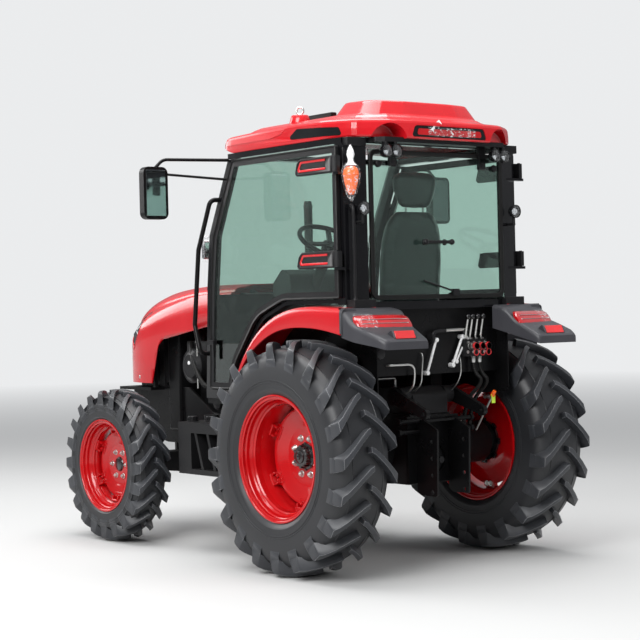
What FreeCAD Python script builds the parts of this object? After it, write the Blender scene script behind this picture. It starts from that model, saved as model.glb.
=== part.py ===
import FreeCAD, Part
import math
import os

os.makedirs("parts", exist_ok=True)
Vector = FreeCAD.Vector

# Compact four wheel drive farm tractor with a closed cab. Millimetres.
# Working frame: the rear axle is at x = 0, +X is forwards, +Y is left, +Z is up and the ground is z = 0.

# Wheels and track
wheelbase = 1884.0
rear_track = 1370.0
front_track = 1290.0
rear_tyre_radius = 605.0
rear_tyre_width = 345.0
rear_flange_radius = 330.0
rear_rim_width = 305.0
rear_disc_face = 640.0
front_tyre_radius = 455.0
front_tyre_width = 215.0
front_flange_radius = 279.0
front_rim_width = 203.0
front_disc_face = 628.0
flange_height = 24.0
flange_thickness = 11.0
rim_wall = 7.0
disc_wall = 9.0
lug_height_rear = 38.0
lug_height_front = 30.0
lugs_per_side = 20
running_clearance = 0.05
seat_gap = 0.3
moving_gap = 6.0

# Axle housings and steering
kingpin_y = 480.0
kingpin_radius = 20.0
steer_arm = 120.0
axle_shaft_radius = 32.0
rear_shaft_radius = 40.0
bell_half_width = 185.0

# Stations that follow the wheels
tyre_top_z = 2 * rear_tyre_radius
axle_z = front_tyre_radius
bell_front_x = 940.0
engine_to_axle = 144.0
engine_front_x = wheelbase - engine_to_axle
rail_low_z = axle_z + 105.0
rail_top_z = axle_z + 245.0
deck_top_z = 903.0
radiator_x = wheelbase + 101.0
tank_rear_gap = 95.0
tank_front_gap = 179.0
tank_rear_x = rear_tyre_radius + tank_rear_gap
tank_front_x = wheelbase - front_tyre_radius - tank_front_gap

# Cab
cab_half_width = 600.0
cab_wall = 45.0
door_thickness = 18.0
door_border = 36.0
glass_thickness = 5.0
door_hinge_x = -306.0
door_hinge_y = 640.0
door_hinge_radius = 8.0
rear_post_x = -343.0
rear_window_half = 472.0
door_sill_z = tyre_top_z + 207.0
door_foot_x = rear_tyre_radius + 87.0
door_foot_z = 935.0
rail_bottom_z = 2200.0
roof_rail_height = 30.0
door_top_z = rail_bottom_z - 10.0
window_sill_z = door_sill_z - 13.0
rear_window_top_z = rail_bottom_z - 28.0
floor_z = 880.0
floor_thickness = 30.0

# Hood
hood_wall = 5.0
hood_hinge_x = 1100.0
hood_hinge_z = 1480.0
hood_rear_x = 1084.0

# Fenders
fender_inner_y = 455.0
fender_outer_y = 700.0
fender_wall = 6.0
fender_rear_x = -376.0

# Rear linkage
gearbox_rear_x = -255.0
gearbox_half_width = 140.0
gearbox_top_z = 800.0
lift_shaft_x = -200.0
lift_shaft_z = 895.0
lift_shaft_radius = 26.0
lift_arm_reach = (-237.0, -84.0)
ladder_half_gap = 105.0
ladder_plate = 12.0
ladder_hole_radius = 11.0
ladder_hole_z = (400.0, 488.0, 576.0, 664.0)
ladder_hole_x = -389.0
pto_radius = 17.5
pto_z = 560.0
pto_length = 80.0

# The stored origin is under the middle of the part's bounding box.
nose_x = wheelbase + 491.0
tail_x = -(rear_tyre_radius + 85.0)
origin_x = (nose_x + tail_x) / 2

pieces = {}


def keep(name, *solids):
    """Stores one named piece, of one solid or of several that don't touch."""
    pieces[name] = solids[0] if len(solids) == 1 else Part.makeCompound(list(solids))


def box(x0, x1, y0, y1, z0, z1):
    return Part.makeBox(x1 - x0, y1 - y0, z1 - z0, Vector(x0, y0, z0))


def rod(start, end, radius, end_radius=None):
    """A round bar, or a cone when end_radius is given."""
    run = Vector(*end) - Vector(*start)
    if end_radius is None:
        return Part.makeCylinder(radius, run.Length, Vector(*start), run)
    return Part.makeCone(radius, end_radius, run.Length, Vector(*start), run)


def mirrored(shape):
    return shape.mirror(Vector(0, 0, 0), Vector(0, 1, 0))


def fuse(first, *others):
    return first.fuse(list(others)).removeSplitter()


def on_plane(plane, u, v, level):
    if plane == "xz":
        return Vector(u, level, v)
    if plane == "xy":
        return Vector(u, v, level)
    return Vector(level, u, v)


def rounded_wire(plane, level, corners):
    """Closed outline through corners (u, v) or (u, v, radius), with a tangent arc at each radius."""
    points = [on_plane(plane, c[0], c[1], level) for c in corners]
    radii = [c[2] if len(c) > 2 else 0.0 for c in corners]
    count = len(points)
    starts = []
    ends = []
    arcs = []
    for i in range(count):
        back = (points[i - 1] - points[i]).normalize()
        ahead = (points[(i + 1) % count] - points[i]).normalize()
        if radii[i] == 0.0:
            starts.append(points[i])
            ends.append(points[i])
            arcs.append(None)
            continue
        half = back.getAngle(ahead) / 2
        trim = radii[i] / math.tan(half)
        middle = (back + ahead).normalize()
        centre = points[i] + middle * (radii[i] / math.sin(half))
        start = points[i] + back * trim
        end = points[i] + ahead * trim
        starts.append(start)
        ends.append(end)
        arcs.append(Part.Arc(start, centre - middle * radii[i], end).toShape())
    edges = []
    for i in range(count):
        if arcs[i]:
            edges.append(arcs[i])
        after = (i + 1) % count
        if ends[i].distanceToPoint(starts[after]) > 1e-6:
            edges.append(Part.LineSegment(ends[i], starts[after]).toShape())
    return Part.Wire(edges)


def slab(plane, level, thickness, corners):
    """Plate of an outline in a plane, from level and thickness along that plane's normal."""
    face = Part.Face(rounded_wire(plane, level, corners))
    return face.extrude(on_plane(plane, 0, 0, thickness))


def side_plate(y0, y1, corners):
    return slab("xz", y0, y1 - y0, corners)


def spun(profile, centre):
    """Ring about an axis along Y through centre, from a profile of (radius, y) corners."""
    points = [Vector(0, y, r) for r, y in profile]
    wire = Part.makePolygon(points + points[:1])
    ring = Part.Face(wire).revolve(Vector(0, 0, 0), Vector(0, 1, 0), 360)
    ring.translate(Vector(*centre))
    return ring


def tube(radius, bend, points):
    """Round tube along straight runs joined by tangent arcs of one bend radius."""
    corners = [Vector(*p) for p in points]
    edges = []
    last = corners[0]
    for i in range(1, len(corners) - 1):
        back = (corners[i - 1] - corners[i]).normalize()
        ahead = (corners[i + 1] - corners[i]).normalize()
        half = back.getAngle(ahead) / 2
        trim = bend / math.tan(half)
        middle = (back + ahead).normalize()
        start = corners[i] + back * trim
        end = corners[i] + ahead * trim
        crown = corners[i] + middle * (bend / math.sin(half) - bend)
        edges.append(Part.LineSegment(last, start).toShape())
        edges.append(Part.Arc(start, crown, end).toShape())
        last = end
    if last.distanceToPoint(corners[-1]) > 1e-6:
        edges.append(Part.LineSegment(last, corners[-1]).toShape())
    path = Part.Wire(edges)
    ring = Part.Wire(Part.makeCircle(radius, corners[0], corners[1] - corners[0]))
    return path.makePipeShell([ring], True, True)


def eased(shape, radius, wanted):
    """Fillets the edges whose middle passes the test."""
    edges = [e for e in shape.Edges if wanted(e.valueAt((e.FirstParameter + e.LastParameter) / 2))]
    return shape.makeFillet(radius, edges)


def over_tyre(points):
    """Corners given as (angle, height over the tread, fillet) about the rear axle, angle 0 being straight ahead."""
    corners = []
    for angle, height, *fillet in points:
        reach = rear_tyre_radius + height
        corners.append((reach * math.cos(math.radians(angle)),
                        rear_tyre_radius + reach * math.sin(math.radians(angle)), *fillet))
    return corners


def loft(sections):
    """Ruled solid through closed sections of corners."""
    solid = Part.makeLoft([Part.makePolygon([Vector(*p) for p in s] + [Vector(*s[0])]) for s in sections],
                          True, True)
    return solid if solid.Volume > 0 else solid.reversed()


# Tyres: a hollow carcass with bars that lead at the centre line
def tyre(radius, width, flange_radius, rim_width, lug_height, centre_y):
    crown = radius - lug_height
    half = width / 2
    seat = flange_radius - flange_height + seat_gap
    bead = rim_width / 2 - flange_thickness - seat_gap
    belly = flange_radius + 0.42 * (crown - flange_radius)
    wall = 16.0
    outer = [(seat, bead), (flange_radius + 4, bead), (belly, half), (crown - 42, half - 7),
             (crown - 9, half * 0.80)]
    inner = [(crown - wall - 9, half * 0.72), (belly, half - wall), (flange_radius + 4, bead - 30),
             (seat, bead - 30)]
    profile = outer + [(r, -y) for r, y in reversed(outer)]
    profile = profile + [(r, -y) for r, y in reversed(inner)] + inner
    carcass = spun(profile, (0, 0, 0))
    # Each bar: side offset, outer radius, foot radius, angle ahead of its shoulder, half width across
    bar = (
        (-0.03, radius, crown - 12, 15.0, 15.0),
        (0.50, radius - 2, crown - 22, 7.0, 19.0),
        (0.985, radius - 20, crown - 45, 0.0, 23.0),
    )
    bars = []
    step = 360.0 / lugs_per_side
    for side, shift in ((1, 0.0), (-1, step / 2)):
        sections = []
        for y_part, top, foot, lead, half_bar in bar:
            corners = []
            for r, flare, way in ((foot, 1.5, -1), (top, 1.0, -1), (top, 1.0, 1), (foot, 1.5, 1)):
                angle = math.radians(lead) + way * half_bar * flare / r
                reach = r / math.cos(half_bar / r) if r == top else r
                corners.append((reach * math.sin(angle), side * y_part * half, reach * math.cos(angle)))
            sections.append(corners)
        one = loft(sections)
        for i in range(lugs_per_side):
            copy = one.copy()
            copy.rotate(Vector(0, 0, 0), Vector(0, 1, 0), shift + i * step)
            bars.append(copy)
    body = carcass.fuse(bars)
    body.translate(Vector(0, centre_y, 0))
    return body


def rim(flange_radius, rim_width, disc_face, dish, centre_y, hub_radius, tabs):
    """Wheel: well-based rim, dished disc and the tabs that carry it."""
    half = rim_width / 2
    seat = flange_radius - flange_height
    well = seat - 28
    near = half - flange_thickness
    outer = [(flange_radius, half), (flange_radius, near), (seat, near), (seat, near - 42), (well, near - 66)]
    inner = [(well - rim_wall, near - 68), (seat - rim_wall, near - 44), (seat - rim_wall, near + 2),
             (flange_radius - rim_wall, half)]
    profile = outer + [(r, -y) for r, y in reversed(outer)]
    profile = profile + [(r, -y) for r, y in reversed(inner)] + inner
    barrel = spun(profile, (0, centre_y, 0))
    # Disc section: flat centre, then a cone out to the tabs
    edge = well - rim_wall - 22
    face = [(hub_radius + seat_gap, 0), (edge * 0.62, 0), (edge, dish)]
    back = [(edge, dish - disc_wall), (edge * 0.62 + 6, -disc_wall), (hub_radius + seat_gap, -disc_wall)]
    disc = spun(face + back, (0, disc_face, 0))
    parts = [disc]
    tab_y = disc_face + dish - disc_wall
    for i in range(tabs):
        tab = box(-42, 42, tab_y - 8, tab_y + 8, edge - 12, well - rim_wall + 3)
        tab.rotate(Vector(0, 0, 0), Vector(0, 1, 0), i * 360.0 / tabs)
        parts.append(tab)
    return fuse(barrel, *parts)


def place(shape, x, z):
    copy = shape.copy()
    copy.translate(Vector(x, 0, z))
    return copy


rear_hub_radius = 62.0
rear_hub_flange = 128.0
front_hub_radius = 44.0
front_hub_flange = 92.0
rear_tyre = tyre(rear_tyre_radius, rear_tyre_width, rear_flange_radius, rear_rim_width, lug_height_rear,
                 rear_track / 2)
front_tyre = tyre(front_tyre_radius, front_tyre_width, front_flange_radius, front_rim_width, lug_height_front,
                  front_track / 2)
rear_rim = rim(rear_flange_radius, rear_rim_width, rear_disc_face, 22, rear_track / 2, rear_hub_radius, 6)
front_rim = rim(front_flange_radius, front_rim_width, front_disc_face, 14, front_track / 2, front_hub_radius,
                6)


def hub(nose_radius, flange_radius, disc_face, nose_out, neck, shaft_radius, shaft_end):
    """Hub with its flange behind the disc, its nose through it and the shaft that runs in the housing."""
    back = disc_face - disc_wall - seat_gap
    nose = rod((0, back - 1, 0), (0, disc_face + nose_out, 0), nose_radius, nose_radius * 0.82)
    flange = rod((0, back - 18, 0), (0, back, 0), flange_radius)
    collar = rod((0, back - neck, 0), (0, back - 17, 0), flange_radius * 0.62)
    shaft = rod((0, shaft_end, 0), (0, back - neck + 5, 0), shaft_radius)
    return fuse(flange, nose, collar, shaft), back - neck


rear_hub, rear_neck_y = hub(rear_hub_radius, rear_hub_flange, rear_disc_face, 62, 60, rear_shaft_radius,
                            440.0)
front_hub, front_neck_y = hub(front_hub_radius, front_hub_flange, front_disc_face, 12, 30, axle_shaft_radius,
                              530.0)

for side, sign in (("left", 1), ("right", -1)):
    turn = (lambda s: s) if sign == 1 else mirrored
    keep("rear_tyre_" + side, turn(place(rear_tyre, 0, rear_tyre_radius)))
    keep("rear_wheel_" + side, turn(place(rear_rim, 0, rear_tyre_radius)),
         turn(place(rear_hub, 0, rear_tyre_radius)))
    keep("front_tyre_" + side, turn(place(front_tyre, wheelbase, front_tyre_radius)))
    keep("front_wheel_" + side, turn(place(front_rim, wheelbase, front_tyre_radius)),
         turn(place(front_hub, wheelbase, front_tyre_radius)))

# Gearbox and rear axle: one cast backbone with the trumpets that hold the rear hubs
spine = side_plate(-gearbox_half_width, gearbox_half_width,
                   [(gearbox_rear_x, 430, 30), (gearbox_rear_x, gearbox_top_z, 20), (620, gearbox_top_z),
                    (620, 430, 30)])
bell = side_plate(-bell_half_width, bell_half_width, [(600, 400, 40), (600, 840, 40), (bell_front_x, 860, 20),
                                                      (bell_front_x, 400, 20)])
pto = rod((gearbox_rear_x - pto_length, 0, pto_z), (gearbox_rear_x + 5, 0, pto_z), pto_radius)
pto_ring = rod((gearbox_rear_x - 14, 0, pto_z), (gearbox_rear_x + 5, 0, pto_z), 62)
backbone = fuse(spine, bell, pto_ring, pto)
trumpets = []
for sign in (1, -1):
    trumpets.append(rod((0, sign * 120, rear_tyre_radius), (0, sign * 400, rear_tyre_radius), 118, 84))
    trumpets.append(rod((0, sign * 400, rear_tyre_radius),
                        (0, sign * (rear_neck_y - seat_gap), rear_tyre_radius), 116))
front_mount = box(780, 860, -260, 260, 790, floor_z - floor_thickness - seat_gap)
rear_mounts = [box(20, 90, s - 40, s + 40, 640, 1010 - seat_gap) for s in (-290, 290)]
backbone = fuse(backbone, front_mount, *rear_mounts, *trumpets)
for sign in (1, -1):
    backbone = backbone.cut(rod((0, sign * 430, rear_tyre_radius),
                                (0, sign * (rear_neck_y + 1), rear_tyre_radius),
                                rear_shaft_radius + running_clearance))
keep("gearbox", backbone)

# Engine block and the sump under it, with the fan drive ahead
engine_rear_x = bell_front_x
engine_half_width = 165.0
block = side_plate(-engine_half_width, engine_half_width,
                   [(engine_rear_x, 600), (engine_rear_x, 1120, 25), (engine_front_x - 60, 1140, 25),
                    (engine_front_x - 60, 600)])
sump = side_plate(-140, 140, [(engine_rear_x + 20, 470, 40), (engine_rear_x + 20, 601),
                              (engine_front_x - 90, 601),
                              (engine_front_x - 90, 520, 40)])
head = box(engine_rear_x + 60, engine_front_x - 110, -110, 110, 1119, 1215)
pulleys = [rod((engine_front_x - 61, 0, 690), (engine_front_x - 10, 0, 690), 85),
           rod((engine_front_x - 61, 0, 960), (engine_front_x, 0, 960), 60)]
pump = rod((1180, 164, 900), (1180, 235, 900), 48)
filters = rod((1330, 200, 720), (1330, 200, 860), 45)
filter_head = box(1280, 1380, 160, 245, 858, 900)
keep("engine", fuse(block, sump, head, pump, filter_head, filters, *pulleys))

# Front frame: two side rails from the clutch housing to the bumper
rail_inner_y = 172.0
rail_outer_y = 190.0
bumper_x = wheelbase + 296.0
frame_front_x = wheelbase + 356.0
shelf_rear_x = engine_front_x + 20.0
rails = []
for sign in (1, -1):
    y0, y1 = sorted((sign * rail_inner_y, sign * rail_outer_y))
    rails.append(side_plate(y0, y1, [(bell_front_x + 1, rail_low_z), (bell_front_x + 1, rail_top_z - 10),
                                     (wheelbase - 324, rail_top_z), (bumper_x, rail_top_z), (bumper_x,
                                                                                             rail_low_z + 30),
                                     (wheelbase - 244, rail_low_z)]))
shelf = box(shelf_rear_x, frame_front_x, -rail_outer_y, rail_outer_y, rail_top_z - 1, rail_top_z + 14)
bumper = side_plate(-rail_outer_y, rail_outer_y,
                    [(bumper_x, rail_low_z), (bumper_x, rail_top_z), (frame_front_x, rail_top_z),
                     (frame_front_x, rail_low_z, 20)])
deck_low_z = deck_top_z - 18.0
deck = box(radiator_x, nose_x - 20, -330, 330, deck_low_z, deck_top_z)
risers = [box(radiator_x + 25, radiator_x + 55, s - 15, s + 15, rail_top_z + 13,
              deck_low_z + 1) for s in (-200, 200)]
risers += [box(bumper_x + 20, bumper_x + 50, s - 15, s + 15, rail_top_z + 13, deck_low_z + 1) for s in (-170,
                                                                                                        170)]
keep("front_frame", fuse(rails[0], rails[1], shelf, bumper, deck, *risers))

# Front axle beam on its pivot, with an eye at each end for the kingpins
beam_end_y = kingpin_y - 38
beam = loft([
    [(wheelbase - 60, y, axle_z - 45 - drop), (wheelbase + 60, y, axle_z - 45 - drop),
     (wheelbase + 60, y, axle_z + 55),
     (wheelbase - 60, y, axle_z + 55)]
    for y, drop in ((-beam_end_y, 0), (-160, 35), (160, 35), (beam_end_y, 0))])
pivot_block = box(wheelbase - 55, wheelbase + 55, -80, 80, axle_z + 45, rail_low_z - 1)
cradle = [box(x - 12, x + 12, -rail_inner_y + seat_gap, rail_inner_y - seat_gap, axle_z + 45, rail_low_z + 40)
          for x in (wheelbase - 75, wheelbase + 75)]
saddle = box(wheelbase - 64, wheelbase + 64, -60, 60, rail_low_z - 1 + seat_gap, rail_low_z + 40)
eyes = []
bores = []
for sign in (1, -1):
    eyes.append(rod((wheelbase, sign * kingpin_y, axle_z - 55), (wheelbase, sign * kingpin_y, axle_z + 65),
                    40))
    bores.append(rod((wheelbase, sign * kingpin_y, axle_z - 65), (wheelbase, sign * kingpin_y, axle_z + 75),
                     kingpin_radius + running_clearance))
ram_x = wheelbase + steer_arm
ram_z = axle_z - 23.0
ram_radius = 28.0
tie_radius = 11.0
ram = fuse(rod((ram_x, -150, ram_z), (ram_x, 150, ram_z), ram_radius),
           box(wheelbase + 50, ram_x, -130, -100, ram_z - 20, ram_z + 20),
           box(wheelbase + 50, ram_x, 100, 130, ram_z - 20, ram_z + 20))
ram_bore = rod((ram_x, -160, ram_z), (ram_x, 160, ram_z), tie_radius + running_clearance)
front_axle = fuse(beam, pivot_block, ram, *eyes).cut(Part.makeCompound(bores + [ram_bore]))
drive_tunnel = rod((bell_front_x + 1.2, 60, axle_z - 25), (wheelbase - 60 - seat_gap, 60, axle_z - 5), 26)
keep("front_axle", front_axle, fuse(saddle, *cradle), drive_tunnel)

# Steering: knuckles on their kingpins, the ram on the beam and its rod
housing_back = kingpin_y + 44
knuckle_low = axle_z - 83.0
knuckle_top = axle_z + 91.0
pin_z = axle_z - 55.0
for side, sign in (("left", 1), ("right", -1)):
    yoke_top = box(wheelbase - 38, wheelbase + 38, kingpin_y - 30, housing_back + 20, axle_z + 67,
                   knuckle_top)
    yoke_bottom = box(wheelbase - 38, wheelbase + 38, kingpin_y - 30, housing_back + 20, knuckle_low,
                      axle_z - 57)
    kingpin = rod((wheelbase, kingpin_y, knuckle_low + 2), (wheelbase, kingpin_y, knuckle_top - 2),
                  kingpin_radius)
    housing = rod((wheelbase, housing_back, front_tyre_radius),
                  (wheelbase, front_neck_y - seat_gap, front_tyre_radius), 74)
    back_plate = box(wheelbase - 38, wheelbase + 38, housing_back, housing_back + 20, knuckle_low,
                     knuckle_top)
    arm = slab("xy", knuckle_low, 18, [(wheelbase, kingpin_y - 28), (ram_x + 18, kingpin_y - 28, 16),
                                       (ram_x + 18, kingpin_y + 8, 16), (wheelbase, kingpin_y + 18)])
    arm_pin = rod((ram_x, kingpin_y - 10, knuckle_low + 10), (ram_x, kingpin_y - 10, pin_z), 9)
    knuckle = fuse(yoke_top, yoke_bottom, kingpin, housing, back_plate, arm, arm_pin)
    knuckle = knuckle.cut(rod((wheelbase, housing_back + 4, front_tyre_radius), (wheelbase, front_neck_y + 1,
                                                                                  front_tyre_radius),
                              axle_shaft_radius + running_clearance))
    keep("knuckle_" + side, knuckle if sign == 1 else mirrored(knuckle))

tie = rod((ram_x, -460, ram_z), (ram_x, 460, ram_z), tie_radius)
tie_eye = box(ram_x - 16, ram_x + 16, kingpin_y - 27, kingpin_y + 7, pin_z + 3, ram_z + 14)
keep("steering_rod", fuse(tie, tie_eye, mirrored(tie_eye)))

# Radiator with its shroud, the air cleaner and the exhaust
radiator_top_z = 1290.0
radiator = box(radiator_x, radiator_x + 60, -225, 225, deck_top_z + seat_gap, radiator_top_z)
shroud_front_x = radiator_x - seat_gap
shroud = side_plate(-215, 215, [(radiator_x - 85, 960), (radiator_x - 85, 1230), (shroud_front_x, 1280),
                                (shroud_front_x, deck_top_z + 17)])
shroud = shroud.cut(rod((radiator_x - 105, 0, 1080), (radiator_x + 5, 0, 1080), 165))
top_tank = box(radiator_x - 10, radiator_x + 70, -235, 235, radiator_top_z, radiator_top_z + 30)
posts = [box(radiator_x, radiator_x + 25, s - 12, s + 12, deck_top_z + seat_gap,
             radiator_top_z + 40) for s in (-285, 285)]
bridge = box(radiator_x, radiator_x + 25, -285, 285, radiator_top_z + 10, radiator_top_z + 40)
keep("radiator", fuse(radiator, top_tank, bridge, *posts), shroud)

cleaner_x = wheelbase - 324.0
cleaner_z = 1040.0
cleaner = fuse(rod((cleaner_x, engine_half_width + seat_gap, cleaner_z), (cleaner_x, 300, cleaner_z), 104),
               rod((cleaner_x, 298, cleaner_z), (cleaner_x, 316, cleaner_z), 96, 70))
intake = tube(34, 70, [(cleaner_x, 232, 1120), (cleaner_x, 232, 1225), (cleaner_x + 140, 150, 1240)])
keep("air_cleaner", fuse(cleaner, intake))

stack_x = bell_front_x + 360.0
stack_y = -410.0
stack_top_z = 2030.0
muffler = rod((stack_x, stack_y, 1090), (stack_x, stack_y, 1560), 52)
pipe = rod((stack_x, stack_y, 1559), (stack_x, stack_y, stack_top_z - 40), 26)
cap = rod((stack_x, stack_y, stack_top_z - 41), (stack_x, stack_y, stack_top_z), 30, 22)
elbow = tube(28, 60, [(stack_x, -engine_half_width - seat_gap, 1010), (stack_x, stack_y, 1010),
                      (stack_x, stack_y, 1095)])
keep("exhaust", fuse(muffler, pipe, cap, elbow))

# Fuel tank with its steps, one each side
tank_top_z = 735.0
tank_bottom_z = 440.0
tank_inner_y = 300.0
tank_outer_y = 612.0
step_depth = 150.0
tank = box(tank_rear_x, tank_front_x, tank_inner_y, tank_outer_y, tank_bottom_z, tank_top_z)
recess = box(tank_rear_x - 1, tank_front_x - 130, tank_outer_y - step_depth, tank_outer_y + 1,
             tank_bottom_z + 30,
             tank_top_z - 60)
tank = tank.cut(recess)
treads = []
tank_length = tank_front_x - tank_rear_x
for share in (0.11, 0.33, 0.55):
    x = tank_rear_x + share * tank_length
    treads.append(side_plate(tank_outer_y - step_depth - 1, tank_outer_y - 6,
                             [(x, tank_bottom_z + 29), (x + 70, tank_top_z - 59), (x + 92, tank_top_z - 59),
                              (x + 22, tank_bottom_z + 29)]))
caps = [rod((tank_rear_x + share * tank_length, 430, tank_top_z - 1), (tank_rear_x + share * tank_length, 430,
                                                                      tank_top_z + 32), 42)
        for share in (0.86, 0.58)]
hanger = box(bell_front_x - 100, bell_front_x - 20, bell_half_width + seat_gap, tank_inner_y, 640, 680)
tank = fuse(tank, *treads, *caps, hanger)
keep("step_tanks", tank, mirrored(tank))

# Cab floor, firewall, rear seat platform and bulkhead
floor = box(300, 960, -cab_half_width + 5, cab_half_width - 5, floor_z - floor_thickness, floor_z)
floor = floor.cut(box(299, 620, fender_inner_y - 5, 700, 800, 900)).cut(box(299, 620, -700,
                                                                            -fender_inner_y + 5, 800, 900))
floor = floor.cut(box(299, 961, -190, 190, 840, 862)).cut(box(938, 961, -190, 190, 840, 890))
platform_half = fender_inner_y - seat_gap
riser = box(290, 320, -platform_half, platform_half, floor_z - 1, 1040)
platform = box(-290, 320, -platform_half, platform_half, 1010, 1040)
bulkhead = box(-290, -270, -platform_half, platform_half, 1010, window_sill_z - 30)
# The fender's line over the tyre, outside and inside, and the wall beside the wheel that closes it
fender_line = over_tyre(((28, 32), (36.6, 72), (49.2, 115, 160), (67.7, 157, 300), (88.5, 176, 500)))
fender_line += [(fender_rear_x, tyre_top_z + 156)]
fender_inside = over_tyre(((26, 24), (36.6, 65), (49.2, 108, 160), (67.7, 150, 300), (88.5, 169, 500)))
fender_inside += [(fender_rear_x - 1, tyre_top_z + 149)]
wheel_wall = side_plate(fender_inner_y, fender_inner_y + fender_wall,
                        fender_line + [(fender_rear_x, floor_z + 20), (300, floor_z - floor_thickness)])
wheel_wall = wheel_wall.cut(rod((0, fender_inner_y - 5, rear_tyre_radius),
                                (0, fender_inner_y + 10, rear_tyre_radius),
                                rear_flange_radius))
keep("cab_floor", fuse(floor, riser, platform, bulkhead), wheel_wall, mirrored(wheel_wall))
firewall = side_plate(-550, 550, [(917, floor_z + seat_gap), (903, 1460), (928, 1460),
                                  (937, floor_z + seat_gap)])
cowl = side_plate(-300, 300, [(920, 1225), (920, 1455, 20), (1030, 1470, 20), (1076, 1440), (1076, 1225)])
hinge_arms = [side_plate(s - 6, s + 6, [(1040, 1430), (1040, 1462), (1090, 1496, 14), (1120, 1480, 12),
                                        (1076, 1430)])
              for s in (-170, 170)]
cowl = fuse(firewall, cowl, *hinge_arms)
for s in (-170, 170):
    cowl = cowl.cut(rod((hood_hinge_x, s - 10, hood_hinge_z), (hood_hinge_x, s + 10, hood_hinge_z),
                        8 + running_clearance))
keep("cowl", cowl)

# Cab frame: posts, sills and roof rails of one side, mirrored, with the cross members
pillar_top_z = rail_bottom_z - 2.0
pillar_back = [(640, pillar_top_z), (838, 1780), (872, 1496), (905, 929)]
pillar_front = [(962, 929), (932, 1500), (898, 1792), (700, pillar_top_z)]


def front_of_pillar(z):
    """The x of the front edge of the front pillar at a height."""
    for (low_x, low_z), (high_x, high_z) in zip(pillar_front, pillar_front[1:]):
        if z <= high_z:
            break
    return low_x + (high_x - low_x) * (z - low_z) / (high_z - low_z)


inner_y = cab_half_width - cab_wall
a_pillar = side_plate(inner_y, cab_half_width, pillar_back + pillar_front)
front_sill = box(door_foot_x - 28, 965, inner_y, cab_half_width, floor_z + seat_gap,
                 door_foot_z - moving_gap - seat_gap)
rear_post = slab("xy", window_sill_z - 20, rail_bottom_z - window_sill_z + 20 - seat_gap,
                 [(rear_post_x, rear_window_half + 3), (-306, cab_half_width), (-245, cab_half_width),
                  (-300, rear_window_half + 3)])
sill_top = over_tyre(((37.2, 190, 120), (58.8, 236, 250), (76.2, 225, 250)))
sill_low = over_tyre(((37.2, 168, 120), (58.8, 214, 250), (76.2, 205, 250)))
sill_arc = side_plate(inner_y, cab_half_width,
                      [(door_foot_x - 8, door_foot_z - moving_gap)] + sill_top + [(-244.7, sill_top[-1][1]),
                                                                                 (-244.7, sill_low[-1][1])]
                      + sill_low[::-1] + [(door_foot_x - 28, door_foot_z - moving_gap)])
roof_rail = box(-300, 700, inner_y, cab_half_width, rail_bottom_z, rail_bottom_z + roof_rail_height)
hinge_spots = (door_sill_z + 158.0, door_top_z - 135.0)
lugs = []
for z in hinge_spots:
    lug = slab("xy", z - 16, 14, [(-330, 520), (-330, 655, 8), (-290, 655, 8), (-290, 590), (-300, 520)])
    lugs.append(fuse(lug, rod((door_hinge_x, door_hinge_y, z - 3), (door_hinge_x, door_hinge_y, z + 84),
                              door_hinge_radius)))
rear_post = fuse(rear_post, *lugs)
side_frame = [a_pillar, front_sill, rear_post, sill_arc, roof_rail]
header_front = box(650, 700, -inner_y + seat_gap, inner_y - seat_gap, rail_bottom_z,
                   rail_bottom_z + roof_rail_height)
header_rear = box(-343, -300, -rear_window_half, rear_window_half, rail_bottom_z,
                  rail_bottom_z + roof_rail_height)
sill_rear = box(-343, -300, -platform_half, platform_half, window_sill_z - 50, window_sill_z - 8)
keep("cab_frame", *side_frame, *[mirrored(s) for s in side_frame], header_front, header_rear, sill_rear)

# Glass: windscreen bent along the pillars and the rear window
screen_front = [(925, 1465), (890, 1790), (690, rail_bottom_z - 1)]
windscreen = side_plate(-inner_y + seat_gap, inner_y - seat_gap,
                        screen_front + [(x - glass_thickness, z) for x, z in reversed(screen_front)])
keep("windscreen", windscreen)
window_front_x = rear_post_x - seat_gap
window_rear_x = window_front_x - glass_thickness
window_half = rear_window_half - 8.0
window = box(window_rear_x, window_front_x, -window_half, window_half, window_sill_z, rear_window_top_z)
window_hinges = [box(window_rear_x - 18, window_front_x, s - 22, s + 22, rear_window_top_z - 68,
                     rear_window_top_z + 32)
                 for s in (-311, 311)]
keep("rear_window", fuse(window, *window_hinges))
fitting_x = window_rear_x - seat_gap
handle_x = window_rear_x - 37.0
handle_z = window_sill_z + 296.0
handle = fuse(rod((handle_x, -60, handle_z), (handle_x, 120, handle_z), 9),
              rod((handle_x - 1, -40, handle_z), (fitting_x, -40, handle_z), 8),
              rod((handle_x - 1, 100, handle_z), (fitting_x, 100, handle_z), 8))
wiper_x = window_rear_x - 14.0
wiper_z = window_sill_z + 36.0
wiper = fuse(box(wiper_x - 10, fitting_x, -120, -80, wiper_z - 20, wiper_z + 15),
             rod((wiper_x, -100, wiper_z), (wiper_x, 120, wiper_z + 60), 5))
keep("rear_window_fittings", handle, wiper)

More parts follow.
